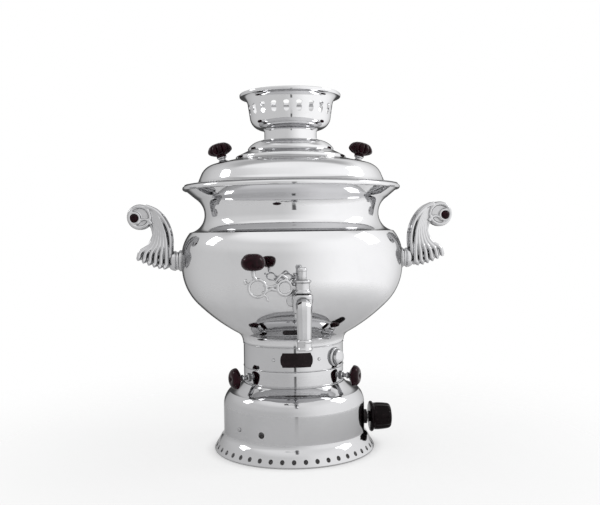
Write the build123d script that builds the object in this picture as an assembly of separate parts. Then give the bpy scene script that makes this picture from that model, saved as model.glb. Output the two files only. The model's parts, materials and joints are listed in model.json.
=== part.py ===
"""A gas-fired samovar of about six litres, built piece by piece.

Frame: millimetres, +Z up, the origin on the table at the centre of the base. The tap faces -Y,
the gas knob faces +X. Angles round the axis are counted from the front, towards +X.
"""

import os
from math import cos, radians, sin, sqrt

from build123d import *

os.makedirs("parts", exist_ok=True)

# ---- driving dimensions -------------------------------------------------------------------

sheet = 1.0  # wall of every pressed or spun shell
seat_gap = 0.3  # between a lift-off piece and what it rests on
turn_gap = 0.1  # radial clearance of anything that turns or slides in a bore
slip_gap = 0.4  # radial clearance of a lift-off collar

base_r = 84.3
base_flange_out = 11.3
base_flange_h = 1.5
flare_h = 14.0
flare_out = 3.3
cove_h = 5.0
cove_r = 12.0
base_wall_h = 32.5
base_shoulder_in = 6.8
base_shoulder_h = 16.3
throat_h = 10.2
throat_r = 26.0
base_top_out = 1.0
base_mouth_in = 7.5
perforation_count = 45
perforation_d = 5.0
perforation_z = 6.3
peep_hole_d = 7.4
peep_hole_angle = -29.3
peep_hole_z = 32.0

stand_r = 59.5
stand_ring_h = 18.5
stand_h = 33.0
spigot_h = 17.0
stand_bead = 0.7
vent_hole_d = 5.0
vent_hole_angle = -46.4
vent_hole_drop = 29.0

plate_w = 32.0
plate_h = 16.0
plate_lobe = 2.4
plate_t = 0.8
plate_up = 14.2
plate_rivet_angle = 25.8
plate_rivet_d = 3.6

thumb_angle = 65.0
thumb_up = 8.5
thumb_stem_d = 4.6
thumb_stem_l = 14.0
thumb_disc_d = 24.6
thumb_disc_t = 6.0
thumb_boss_d = 10.0
thumb_boss_h = 3.0

igniter_angle = 50.0
igniter_up = 14.0
igniter_bezel_d = 22.0
igniter_bezel_h = 3.0
igniter_button_d = 17.0
igniter_button_h = 8.5
igniter_body_d = 14.0
igniter_body_l = 17.0

bowl_lip_h = 3.5
belly_r = 131.0
belly_break_in = 19.0
belly_break_h = 42.0
belly_turn_h = 45.0
waist_h = 12.0
seam_in = 10.0
seam_h = 27.5
neck_h = 21.0
neck_in = 25.5
flare_in = 15.0
neck_flare_h = 18.8
rim_r = 129.0
rim_bead = 2.6
rim_h = 11.7

flue_r = 29.8
flue_up = 9.4
floor_ledge = 4.5
floor_cone_h = 15.0

lid_brim_t = 1.0
lid_foot_in = 19.5
lid_foot_h = 10.0
lid_edge_in = 2.5
lid_edge_h = 6.0
lid_crown_in = 17.0
lid_crown_h = 12.5
lid_slope_w = 24.2
lid_slope_h = 8.5
lid_step_h = 2.5
lid_dome_in = 14.8
lid_dome_up = 10.0
lid_dome_h = 2.5
lid_collar_w = 3.2
lid_collar_h = 10.6
lid_skirt_in = 11.0
lid_skirt_h = 8.4

lid_knob_in = 9.5
lid_ferrule_d = 11.0
lid_ferrule_h = 7.0
lid_knob_d = 29.0
lid_knob_h = 17.2
lid_knob_neck = 2.2
lid_knob_flutes = 12
lid_screw_d = 4.0

crown_neck_h = 11.4
crown_cup_h = 13.0
crown_r = 50.5
crown_foot_in = 2.6
gallery_h = 17.5
crown_flare = 8.0
crown_h = 12.0
crown_lip_out = 9.6
crown_lip_w = 4.0
piercing_count = 21
piercing_low_d = 7.6
piercing_low_up = 6.1
piercing_waist = 4.8
piercing_high_w = 7.4
piercing_high_h = 3.8
piercing_high_up = 13.9

handle_up = 6.5
ferrule_d = 25.0
ferrule_l = 14.0
handle_root_d = 18.0
handle_nut_d = 16.0
handle_nut_h = 6.5
handle_stud_d = 8.0
scroll_unit = 1.0  # the scale of the scroll's cross-sections
volute_out = 34.2
volute_up = 52.2
eye_out = 6.2
eye_drop = 1.3
volute_d = 30.5
volute_w = 15.0
eye_d = 9.5
eye_t = 2.0

tap_up = 13.0
tap_reach = 160.0
tap_inlet_d = 14.0
tap_bore_d = 8.0
rosette_d = 28.0
rosette_lobes = 4
rosette_notch_d = 13.0
barrel_d = 20.0
barrel_h = 18.0
barrel_collar_d = 21.0
barrel_collar_h = 4.0
plug_d = 12.0
plug_shoulder = 1.0
plug_nut_h = 4.6
shaft_d = 8.6
shaft_up = 36.0
spout_d = 15.2
spout_tip_d = 14.0
spout_reach = 18.5
spout_drop = 44.0
spout_bore_d = 9.0
key_up = 15.8
key_t = 5.0
key_hub_d = 18.0
key_hub_h = 13.5
key_bar = 3.2
key_ring_far = 44.5
key_ring_near = 17.5
key_ring_d = 16.2
key_spike = 3.0
key_curl_d = 3.6
key_knob_x = 48.5
key_knob_up = 41.0
key_knob_d = 24.2
key_knob_h = 17.6

valve_z = 32.0
valve_body_d = 20.0
valve_body_l = 34.0
spindle_d = 6.0
gas_knob_neck_d = 17.0
gas_knob_flange_d = 36.5
gas_knob_d = 31.5
gas_knob_l = 26.5
gas_knob_gap = 6.2
gas_knob_stroke = 3.0

bridge_w = 22.0
bridge_t = 2.0
bridge_z = 28.0
bridge_angle = -51.0
bridge_tab_h = 12.0
bridge_rivet_d = 5.0
mixer_d = 18.0
mixer_bottom_z = 24.0
mixer_top_z = 86.0
burner_d = 60.0
burner_cup_h = 12.0
burner_cap_h = 6.0
burner_slots = 20
injector_d = 12.0
injector_h = 16.0
pipe_d = 6.0
probe_r = 38.0
probe_top_z = 106.0
inlet_d = 9.0
inlet_l = 16.0

# ---- heights and radii that follow from them ----------------------------------------------

flare_top_z = base_flange_h + flare_h
base_wall_z = flare_top_z + cove_h
base_wall_top_z = base_wall_z + base_wall_h
base_shoulder_z = base_wall_top_z + base_shoulder_h
base_top_z = base_shoulder_z + throat_h
ring_top_z = base_top_z + stand_ring_h
stand_top_z = ring_top_z + stand_h
belly_break_z = stand_top_z + belly_break_h
belly_low_z = belly_break_z + belly_turn_h
belly_high_z = belly_low_z + waist_h
seam_z = belly_high_z + seam_h
neck_z = seam_z + neck_h
flare_z = neck_z + neck_flare_h
rim_z = flare_z + rim_h
lid_foot_z = rim_z + lid_foot_h
lid_edge_z = lid_foot_z + lid_edge_h
lid_crown_z = lid_edge_z + lid_crown_h
lid_step_z = lid_crown_z + lid_slope_h
lid_dome_z = lid_step_z + lid_dome_up
lid_top_z = lid_dome_z + lid_collar_h
crown_neck_z = lid_top_z + crown_neck_h
crown_foot_z = crown_neck_z + crown_cup_h
crown_rim_z = crown_foot_z + gallery_h
thumb_z = base_top_z + thumb_up
plate_z = ring_top_z + plate_up
igniter_z = ring_top_z + igniter_up
handle_z = belly_low_z + handle_up
tap_z = belly_break_z + tap_up
key_z = tap_z + key_up
key_knob_z = tap_z + key_knob_up

belly_break_r = belly_r - belly_break_in
seam_r = belly_r - seam_in
flare_r = rim_r - flare_in
lid_foot_r = rim_r - lid_foot_in
lid_edge_r = lid_foot_r - lid_edge_in
lid_crown_r = lid_edge_r - lid_crown_in
lid_step_r = lid_crown_r - lid_slope_w
lid_dome_r = lid_step_r - lid_dome_in
crown_foot_r = crown_r - crown_foot_in


# ---- helpers ------------------------------------------------------------------------------


def save(solids, name):
    """Writes one node: a solid, or a group of separate solids."""
    group = solids if isinstance(solids, (list, tuple)) else [solids]
    bodies = [body for shape in group for body in shape.solids()]
    export_step(bodies[0] if len(bodies) == 1 else Compound(children=bodies), f"parts/{name}.step")


def spun(edges):
    """Turns a closed outline, drawn as radius and height, about the axis."""
    outline = make_face(edges).face()
    if outline.normal_at().Z < 0:
        outline = -outline
    return revolve(Plane.XZ * outline, Axis.Z)


def spun_polygon(*points):
    return spun(Polyline(*points, close=True))


def spun_shell(path, wall=sheet, side=Side.LEFT):
    """Turns a wall of even thickness, drawn by one of its two faces, about the axis."""
    return spun(offset(path, amount=wall, side=side))


def front(angle, radius=0.0, height=0.0):
    """The point at this angle from the front, and the plane there that looks outwards."""
    direction = Vector(sin(radians(angle)), -cos(radians(angle)), 0)
    return Plane(origin=direction * radius + Vector(0, 0, height), x_dir=(0, 0, 1), z_dir=direction)


def peg(plane, diameter, start, end):
    """A round bar along the plane's normal, from start to end."""
    return plane * Pos(0, 0, (start + end) / 2) * Cylinder(diameter / 2, end - start)


def turned(plane, *points):
    """Turns a closed outline, drawn as radius and distance, about the plane's normal."""
    return plane * spun_polygon(*points)


def domed(plane, diameter, thickness, start):
    """A round disc with a full domed edge and face, standing on the plane at start."""
    ball = Pos(0, 0, start + thickness / 2) * scale(Sphere(0.5), (diameter, diameter, thickness))
    return plane * ball


# ---- base ---------------------------------------------------------------------------------


def bridge_plane(turn):
    """The plane of a rivet that holds the burner's bridge."""
    return front(bridge_angle + turn, 0, bridge_z + bridge_tab_h / 2)


def make_base_housing():
    flange_r = base_r + base_flange_out
    flange = Line((flange_r, 0), (flange_r, base_flange_h))
    flare = Line(flange @ 1, (base_r + flare_out, flare_top_z))
    cove = RadiusArc(flare @ 1, (base_r, base_wall_z), cove_r)
    wall = Line(cove @ 1, (base_r, base_wall_top_z))
    shoulder = TangentArc(wall @ 1, (base_r - base_shoulder_in, base_shoulder_z), tangent=wall % 1)
    throat = RadiusArc(shoulder @ 1, (stand_r + base_top_out, base_top_z), throat_r)
    top = Line(throat @ 1, (stand_r - base_mouth_in, base_top_z))
    shell = spun_shell(flange + flare + cove + wall + shoulder + throat + top)
    holes = [
        peg(front(360 * (i + 0.5) / perforation_count, 0, perforation_z), perforation_d, base_r, flange_r + 2)
        for i in range(perforation_count)
    ]
    peep = peg(front(peep_hole_angle, 0, peep_hole_z), peep_hole_d, base_r - 5, base_r + 5)
    knob_hole = peg(front(90, 0, valve_z), spindle_d + 6, base_r - 5, base_r + 5)
    inlet_hole = peg(front(180, 0, valve_z), inlet_d, base_r - 5, base_r + 5)
    rivet_holes = [peg(bridge_plane(turn), bridge_rivet_d / 2, base_r - 5, base_r + 5) for turn in (0, 180)]
    return shell - holes - peep - knob_hole - inlet_hole - rivet_holes


save(make_base_housing(), "base_housing")


def make_burner_bridge():
    """A strap across the base with a tab turned up at each end and riveted to the wall."""
    across = front(bridge_angle)
    inside_r = base_r - sheet
    strap = Box(2 * inside_r, bridge_w, bridge_t)
    tabs = Box(2 * inside_r, bridge_w, bridge_tab_h) - Box(2 * (inside_r - bridge_t), bridge_w, bridge_tab_h)
    shape = Pos(0, 0, -bridge_t / 2) * strap + Pos(0, 0, bridge_tab_h / 2) * tabs
    shape = Pos(0, 0, bridge_z) * Rot(0, 0, bridge_angle - 90) * shape
    shape &= Pos(0, 0, bridge_z) * Cylinder(inside_r, 3 * bridge_tab_h)
    shape -= Pos(0, 0, bridge_z) * Cylinder(mixer_d / 2, 3 * bridge_t)
    for turn in (0, 180):
        shape -= peg(bridge_plane(turn), bridge_rivet_d / 2, base_r - 5, base_r)
        shape -= Pos(*probe_place(turn)) * Cylinder(pipe_d / 2, 6 * bridge_t)
    return shape


def probe_place(turn):
    direction = front(bridge_angle + turn).z_dir
    return direction.X * probe_r, direction.Y * probe_r, bridge_z


def make_bridge_rivet(turn):
    plane = bridge_plane(turn)
    head = domed(plane, bridge_rivet_d, bridge_rivet_d / 2, base_r - bridge_rivet_d / 4)
    head -= Pos(0, 0, bridge_z) * Cylinder(base_r, 4 * bridge_tab_h)
    return head + peg(plane, bridge_rivet_d / 2, base_r - sheet - bridge_t, base_r + sheet / 2)


def make_probe(turn, diameter):
    x, y, z = probe_place(turn)
    body = Pos(x, y, z - 10) * Cylinder(pipe_d / 2, 44, align=(Align.CENTER, Align.CENTER, Align.MIN))
    tip = Cylinder(diameter / 2, probe_top_z - z - 30, align=(Align.CENTER, Align.CENTER, Align.MIN))
    return body + Pos(x, y, z + 30) * tip


save(make_burner_bridge(), "burner_bridge")
save([make_bridge_rivet(0), make_bridge_rivet(180)], "bridge_rivets")
save(make_probe(0, 2.4), "spark_electrode")
save(make_probe(180, 3.6), "thermocouple")


# ---- burner and gas line ------------------------------------------------------------------

mixer_r = mixer_d / 2
burner_r = burner_d / 2
cup_top_z = mixer_top_z + burner_cup_h
injector_top_z = mixer_bottom_z + 4


def make_mixing_tube():
    tube = spun_polygon(
        (mixer_r - sheet, mixer_bottom_z),
        (mixer_r, mixer_bottom_z),
        (mixer_r, mixer_top_z),
        (mixer_r - sheet, mixer_top_z),
    )
    windows = [
        peg(front(45 + 90 * i, 0, mixer_bottom_z + 9), 6, mixer_r - 3, mixer_r + 3) for i in range(4)
    ]
    return tube - windows


def make_burner_cup():
    wall = 1.5
    return spun_polygon(
        (mixer_r - sheet, mixer_top_z),
        (mixer_r + wall, mixer_top_z),
        (burner_r, cup_top_z - 3),
        (burner_r, cup_top_z),
        (burner_r - wall, cup_top_z),
        (burner_r - wall, cup_top_z - 3),
        (mixer_r - sheet, mixer_top_z + wall),
    )


def make_burner_cap():
    cap = spun_polygon(
        (0, cup_top_z),
        (burner_r, cup_top_z),
        (burner_r, cup_top_z + burner_cap_h / 2),
        (burner_r - 4, cup_top_z + burner_cap_h),
        (0, cup_top_z + burner_cap_h),
    )
    cap -= Pos(0, 0, cup_top_z) * Cylinder(burner_r - 5, burner_cap_h)
    slot = Box(1.8, 10, burner_cap_h / 2)
    slots = [
        Rot(0, 0, 360 * i / burner_slots) * Pos(0, burner_r - 2, cup_top_z) * slot
        for i in range(burner_slots)
    ]
    return cap - slots


def make_injector():
    top = injector_top_z
    body = Pos(0, 0, top - injector_h) * Cylinder(
        injector_d / 2, injector_h, align=(Align.CENTER, Align.CENTER, Align.MIN)
    )
    socket = Pos(injector_d / 2 - 2, 0, top - injector_h / 2) * Rot(0, 90, 0) * Cylinder(pipe_d / 2, 4)
    return body - Pos(0, 0, top) * Cylinder(1.0, injector_h) - socket


def make_pipe(points, bend):
    path = FilletPolyline(*points, radius=bend)
    start = Plane(origin=path @ 0, z_dir=path % 0)
    return sweep(start * (Circle(pipe_d / 2) - Circle(pipe_d / 2 - sheet)), path=path)


valve_inner_r = base_r - sheet - valve_body_l


def make_gas_valve():
    plane = front(90, 0, valve_z)
    body = turned(
        plane,
        (0, valve_inner_r),
        (valve_body_d / 2 - 3, valve_inner_r),
        (valve_body_d / 2, valve_inner_r + 4),
        (valve_body_d / 2, base_r - sheet - 6),
        (valve_body_d / 2 - 3, base_r - sheet - 4),
        (valve_body_d / 2 - 3, base_r - sheet - 1),
        (0, base_r - sheet - 1),
    )
    bore = peg(plane, spindle_d + 2 * turn_gap, valve_inner_r + 10, base_r)
    return body - bore - supply_end(valve_body_d / 2 - 3) - jet_end(4)


def supply_end(depth):
    """The mouth of the supply pipe in the valve's back."""
    x = valve_inner_r + 6
    return Pos(x, depth, valve_z) * Rot(-90, 0, 0) * Cylinder(
        pipe_d / 2, 20, align=(Align.CENTER, Align.CENTER, Align.MIN)
    )


def jet_end(depth):
    """The mouth of the jet pipe in the valve's inner end."""
    return Pos(valve_inner_r + depth, 0, valve_z) * Rot(0, -90, 0) * Cylinder(
        pipe_d / 2, 20, align=(Align.CENTER, Align.CENTER, Align.MIN)
    )


def make_valve_collar():
    """The lock nut that clamps the valve to the wall, with room for the knob's neck."""
    plane = front(90, 0, valve_z)
    collar_end = base_r + gas_knob_gap + 1 - gas_knob_stroke - 2 * seat_gap
    ring = peg(plane, gas_knob_neck_d, base_r - 2, collar_end)
    ring -= Pos(0, 0, valve_z) * Cylinder(base_r, gas_knob_neck_d * 2)
    tail = peg(plane, spindle_d + 6, base_r - sheet - 1, base_r + 1)
    ring += tail
    ring -= peg(plane, spindle_d + 2 * turn_gap, base_r - 5, base_r + 10)
    return ring - peg(plane, gas_knob_neck_d - 3.4, base_r + seat_gap + 0.2, base_r + 10)


def make_valve_spindle():
    plane = front(90, 0, valve_z)
    inner = valve_inner_r + 10 + gas_knob_stroke + 1
    return peg(plane, spindle_d, inner, base_r + gas_knob_gap + gas_knob_l - 8)


def make_gas_knob():
    plane = front(90, 0, valve_z)
    face = base_r + gas_knob_gap + 1
    end = face + gas_knob_l
    neck_r = (gas_knob_neck_d - 4) / 2
    knob = turned(
        plane,
        (0, face - 2),
        (neck_r, face - 2),
        (neck_r, face),
        (gas_knob_flange_d / 2 - 1, face),
        (gas_knob_flange_d / 2, face + 1),
        (gas_knob_flange_d / 2 - 0.5, face + 4),
        (gas_knob_d / 2, face + 6),
        (gas_knob_d / 2 + 0.6, face + 14),
        (gas_knob_d / 2 - 0.6, end - 4),
        (gas_knob_d / 2 - 4, end - 1),
        (0, end),
    )
    return knob - peg(plane, spindle_d + 2 * turn_gap, 0, base_r + gas_knob_gap + gas_knob_l - 7)


def make_gas_inlet():
    plane = front(180, 0, valve_z)
    nipple_r = inlet_d / 2
    start = base_r + 3
    nipple = turned(
        plane,
        (0, base_r - sheet - 8),
        (nipple_r, base_r - sheet - 8),
        (nipple_r, start),
        (nipple_r, start + inlet_l),
        (nipple_r - 1, start + inlet_l + 2),
        (0, start + inlet_l + 2),
    )
    flange = peg(plane, inlet_d + 8, base_r - 2, start) - Pos(0, 0, valve_z) * Cylinder(base_r, 60)
    bore = peg(plane, inlet_d - 3, base_r + 2, start + 2 * inlet_l)
    return nipple + flange - bore - peg(plane, pipe_d, base_r - sheet - 9, base_r + 2)


inlet_end_y = base_r - sheet - 4
supply_x = valve_inner_r + 6
jet_z = injector_top_z - injector_h / 2
supply_route = [(supply_x, valve_body_d / 2 - 3, valve_z), (supply_x, inlet_end_y / 2, valve_z)]
supply_route += [(0, inlet_end_y / 2 + 12, valve_z), (0, inlet_end_y, valve_z)]
jet_route = [(valve_inner_r + 4, 0, valve_z), (valve_inner_r - 14, 0, valve_z)]
jet_route += [(valve_inner_r - 24, 0, jet_z), (injector_d / 2 - 4, 0, jet_z)]

save(make_mixing_tube(), "mixing_tube")
save(make_burner_cup(), "burner_cup")
save(make_burner_cap(), "burner_cap")
save(make_injector(), "injector")
save(make_pipe(jet_route, 6), "jet_pipe")
save(make_pipe(supply_route, 10), "supply_pipe")
save(make_gas_valve(), "gas_valve")
save(make_valve_collar(), "valve_collar")
save(make_valve_spindle(), "valve_spindle")
save(make_gas_knob(), "gas_knob")
save(make_gas_inlet(), "gas_inlet")


# ---- stand --------------------------------------------------------------------------------

stand_core = Pos(0, 0, stand_top_z / 2) * Cylinder(stand_r, stand_top_z)
spigot_r = stand_r - sheet - 0.2


def bead(z):
    return Pos(0, 0, z) * Torus(stand_r, stand_bead)


def make_stand_ring():
    ring = spun_polygon(
        (stand_r - sheet, base_top_z),
        (stand_r, base_top_z),
        (stand_r, ring_top_z),
        (stand_r - sheet, ring_top_z),
    )
    ring += bead(base_top_z + stand_bead + 0.4)
    holes = [
        peg(front(side * thumb_angle, 0, thumb_z), thumb_stem_d + 2 * turn_gap, stand_r - 5, stand_r + 5)
        for side in (-1, 1)
    ]
    return ring - holes


def make_stand_cylinder():
    """The upper wall, with a spigot that drops inside the ring and is held by the screws."""
    wall = spun_polygon(
        (spigot_r - sheet, ring_top_z - spigot_h),
        (spigot_r, ring_top_z - spigot_h),
        (spigot_r, ring_top_z),
        (stand_r, ring_top_z),
        (stand_r, stand_top_z),
        (stand_r - sheet, stand_top_z),
        (stand_r - sheet, ring_top_z + sheet),
        (spigot_r - sheet, ring_top_z + sheet),
    )
    wall += bead(ring_top_z + stand_bead + 0.4)
    wall += bead(stand_top_z - 5)
    vent = peg(front(vent_hole_angle, 0, stand_top_z - vent_hole_drop), vent_hole_d, stand_r - 5, stand_r + 5)
    igniter = peg(front(igniter_angle, 0, igniter_z), igniter_bezel_d - 3, stand_r - 9, stand_r + 5)
    return wall - vent - igniter


def make_thumb_boss(side):
    plane = front(side * thumb_angle, 0, thumb_z)
    boss = peg(plane, thumb_boss_d, stand_r - 2, stand_r + thumb_boss_h) - stand_core
    return boss - peg(plane, thumb_stem_d + 2 * turn_gap, stand_r - 5, stand_r + 5)


def make_thumb_stem(side):
    plane = front(side * thumb_angle, 0, thumb_z)
    end = stand_r + thumb_stem_l
    collar = peg(plane, thumb_stem_d + 3, end - 3, end - seat_gap - 0.9)
    return peg(plane, thumb_stem_d, spigot_r + seat_gap, end + thumb_disc_t / 2) + collar


def make_thumb_disc(side):
    plane = front(side * thumb_angle, 0, thumb_z)
    end = stand_r + thumb_stem_l
    disc = domed(plane, thumb_disc_d, thumb_disc_t, end - 0.9)
    return disc - peg(plane, thumb_stem_d + 2 * turn_gap, end - 2, end + thumb_disc_t / 2 + turn_gap)


def make_label_plate():
    outline = Rectangle(plate_h, plate_w)
    for side in (-1, 1):
        outline += Pos(0, side * plate_w / 2) * Ellipse(plate_h * 0.33, plate_lobe)
    blank = extrude(front(0, 0, plate_z) * outline, stand_r + 10)
    skin = Pos(0, 0, plate_z) * (Cylinder(stand_r + plate_t, 2 * plate_h) - Cylinder(stand_r, 3 * plate_h))
    return blank & skin


def make_plate_rivet(side):
    plane = front(side * plate_rivet_angle, 0, plate_z)
    return domed(plane, plate_rivet_d, plate_rivet_d * 0.6, stand_r - plate_rivet_d * 0.3) - stand_core


igniter_plane = front(igniter_angle, 0, igniter_z)
igniter_back = stand_r - 8


def make_igniter_bezel():
    flange = peg(igniter_plane, igniter_bezel_d, stand_r - 4, stand_r + igniter_bezel_h) - stand_core
    sleeve = peg(igniter_plane, igniter_bezel_d - 3, igniter_back, stand_r + 1)
    bore = peg(igniter_plane, igniter_button_d + 2 * turn_gap, igniter_back - 1, stand_r + 20)
    return flange + sleeve - bore


def make_igniter_button():
    start = stand_r - 1
    end = stand_r + igniter_button_h
    half = igniter_button_d / 2
    return turned(igniter_plane, (0, start), (half, start), (half, end - 2), (half - 2, end - 0.4), (0, end))


def make_igniter_body():
    plug = peg(igniter_plane, igniter_bezel_d - 3, igniter_back - 3, igniter_back)
    return plug + peg(igniter_plane, igniter_body_d, igniter_back - 3 - igniter_body_l, igniter_back - 3)


save(make_stand_ring(), "stand_ring")
save(make_stand_cylinder(), "stand_cylinder")
save([make_thumb_boss(-1), make_thumb_boss(1)], "thumb_bosses")
for side, word in ((-1, "left"), (1, "right")):
    save(make_thumb_stem(side), f"thumb_stem_{word}")
    save(make_thumb_disc(side), f"thumb_disc_{word}")
save(make_label_plate(), "label_plate")
save([make_plate_rivet(-1), make_plate_rivet(1)], "plate_rivets")
save(make_igniter_bezel(), "igniter_bezel")
save(make_igniter_button(), "igniter_button")
save(make_igniter_body(), "igniter_body")


# ---- water vessel -------------------------------------------------------------------------

lip_r = stand_r + sheet
lip_top_z = stand_top_z + sheet
floor_top_z = stand_top_z + floor_cone_h


def backwards(arc):
    return ThreePointArc(arc @ 1, arc @ 0.5, arc @ 0)


def belly_outline():
    """The outside of the bowl, from its lip up to the seam under the neck."""
    low_turn = TangentArc((belly_r, belly_low_z), (belly_break_r, belly_break_z), tangent=(0, -1))
    under = TangentArc(low_turn @ 1, (lip_r, lip_top_z), tangent=low_turn % 1)
    lip = Line((lip_r, lip_top_z - bowl_lip_h), (lip_r, lip_top_z))
    waist = Line((belly_r, belly_low_z), (belly_r, belly_high_z))
    high_turn = TangentArc(waist @ 1, (seam_r, seam_z), tangent=(0, 1))
    return lip, backwards(under), backwards(low_turn), waist, high_turn


def make_bowl_block():
    """The bowl's outside filled to the axis, to trim what is seated on it."""
    lip, *rest = belly_outline()
    close = Polyline((seam_r, seam_z), (0, seam_z), (0, lip_top_z - bowl_lip_h), lip @ 0)
    return spun([lip, *rest, close])


bowl_block = make_bowl_block()


def make_vessel_bowl():
    bowl = spun_shell(Curve() + list(belly_outline()))
    for side in (-1, 1):
        bowl -= peg(front(90 * side, 0, handle_z), handle_stud_d, belly_r - 10, belly_r + 5)
    return bowl - peg(front(0, 0, tap_z), tap_inlet_d, belly_r - 40, belly_r + 5)


def make_vessel_neck():
    neck = (rim_r - neck_in, neck_z)
    under = TangentArc(neck, (seam_r, seam_z), tangent=(0, -1))
    over = TangentArc(neck, (flare_r, flare_z), tangent=(0, 1))
    bead_r = rim_r - rim_bead
    lip = Line((flare_r, flare_z), (bead_r, rim_z - rim_bead / 2))
    shell = spun_shell(backwards(under) + over + lip)
    return shell + Pos(0, 0, rim_z) * Torus(bead_r, rim_bead) - bowl_block


def make_vessel_floor():
    ledge_r = stand_r - floor_ledge
    return spun_polygon(
        (stand_r, stand_top_z),
        (stand_r, lip_top_z),
        (ledge_r, lip_top_z),
        (flue_r, floor_top_z),
        (flue_r - sheet, floor_top_z),
        (flue_r - sheet, floor_top_z - sheet),
        (ledge_r, stand_top_z),
    )


def make_flue_tube():
    return spun_polygon(
        (flue_r - sheet, floor_top_z),
        (flue_r, floor_top_z),
        (flue_r, lid_top_z + flue_up),
        (flue_r - sheet, lid_top_z + flue_up),
    )


vessel_bowl = make_vessel_bowl()
save(vessel_bowl, "vessel_bowl")
save(make_vessel_neck(), "vessel_neck")
save(make_vessel_floor(), "vessel_floor")
save(make_flue_tube(), "flue_tube")


# ---- handles ------------------------------------------------------------------------------

grip_start = belly_r + ferrule_l
volute_x = grip_start + volute_out
volute_z = handle_z + volute_up
eye_x = volute_x + eye_out
eye_z = volute_z - eye_drop


def scroll_section(out, up, lean, half_width, half_depth):
    """One cross-section of the scroll, out and up from where the root leaves its ferrule."""
    normal = Vector(sin(radians(lean)), 0, cos(radians(lean)))
    origin = (grip_start + out * scroll_unit, 0, handle_z + up * scroll_unit)
    place = Plane(origin=origin, x_dir=(0, 1, 0), z_dir=normal)
    return place * Ellipse(half_depth * scroll_unit, half_width * scroll_unit)


def make_handle():
    """The right handle: a cast scroll that rises from a leaf and curls outwards to an eye."""
    column = [
        scroll_section(11, -4.5, 0, 9.5, 9),
        scroll_section(9.5, 20.5, 0, 12, 9),
        scroll_section(9, 37.5, 4, 12, 9),
        scroll_section(14.5, 51, 38, 11, 8.5),
        scroll_section(24, 57.5, 80, 10, 8),
        scroll_section(34.4, 55.9, 122, 8.5, 7.5),
    ]
    leaf = [
        scroll_section(10, 33.5, 0, 11, 9.5),
        scroll_section(13, 20, 0, 13.5, 11),
        scroll_section(17, 8, 0, 19, 12.5),
        scroll_section(17.5, -1.5, 0, 17.5, 12.5),
        scroll_section(16, -7.5, 0, 12, 10.5),
    ]
    volute = Pos(volute_x, 0, volute_z) * Rot(90, 0, 0) * Cylinder(volute_d / 2, volute_w)
    root = peg(front(90, 0, handle_z), handle_root_d, grip_start, grip_start + 10)
    stud = peg(front(90, 0, handle_z), handle_stud_d, belly_r - 11, grip_start)
    sockets = [
        Pos(eye_x, face * (volute_w - eye_t) / 2, eye_z) * Rot(90, 0, 0) * Cylinder(eye_d / 2, eye_t)
        for face in (-1, 1)
    ]
    seat = peg(front(90, 0, handle_z), ferrule_d, belly_r, grip_start)
    return loft(column) + root + loft(leaf) + volute - seat + stud - sockets


def make_ferrule():
    """A turned collar with rings, hollowed to the bowl's outside."""
    half = ferrule_d / 2
    collar = turned(
        front(90, 0, handle_z),
        (handle_stud_d / 2, belly_r - 3),
        (half, belly_r - 3),
        (half, belly_r + 2.5),
        (half - 2, belly_r + 4),
        (half - 2, belly_r + 6),
        (half - 0.6, belly_r + 8),
        (half - 1.2, grip_start - 3),
        (half - 3, grip_start),
        (handle_stud_d / 2, grip_start),
    )
    return collar - bowl_block


def make_handle_nut():
    start = belly_r - sheet - 2 * seat_gap - handle_nut_h
    nut = extrude(front(90, start, handle_z) * RegularPolygon(handle_nut_d / 2, 6), handle_nut_h)
    return nut - peg(front(90, 0, handle_z), handle_stud_d, start - 1, belly_r)


def make_eye(face):
    return Pos(eye_x, face * (volute_w - eye_t) / 2, eye_z) * Rot(90, 0, 0) * Cylinder(eye_d / 2, eye_t)


handle = make_handle()
ferrule = make_ferrule()
nut = make_handle_nut()
eyes = [make_eye(-1), make_eye(1)]
save(handle, "handle_right")
save(mirror(handle, Plane.YZ), "handle_left")
save(ferrule, "ferrule_right")
save(mirror(ferrule, Plane.YZ), "ferrule_left")
save([nut, mirror(nut, Plane.YZ)], "handle_nuts")
save(eyes + [mirror(eye, Plane.YZ) for eye in eyes], "handle_eyes")


# ---- tap ----------------------------------------------------------------------------------

tap_axis = Pos(0, -tap_reach, 0)
spout_y = -tap_reach - spout_reach
spout_tip_z = tap_z - spout_drop
barrel_top_z = tap_z + barrel_h / 2
barrel_bottom_z = tap_z - barrel_h / 2
spout_path = FilletPolyline(
    (0, -tap_reach, tap_z), (0, spout_y, tap_z), (0, spout_y, spout_tip_z + 8), radius=spout_reach - 3
)
plug_bore = tap_axis * Pos(0, 0, tap_z) * Cylinder(plug_d / 2 + turn_gap, barrel_h * 2)
belly_turn_r = (belly_break_in**2 + belly_turn_h**2) / (2 * belly_break_in)
belly_at_tap = belly_r - belly_turn_r + sqrt(belly_turn_r**2 - (belly_turn_h - tap_up) ** 2)


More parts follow.
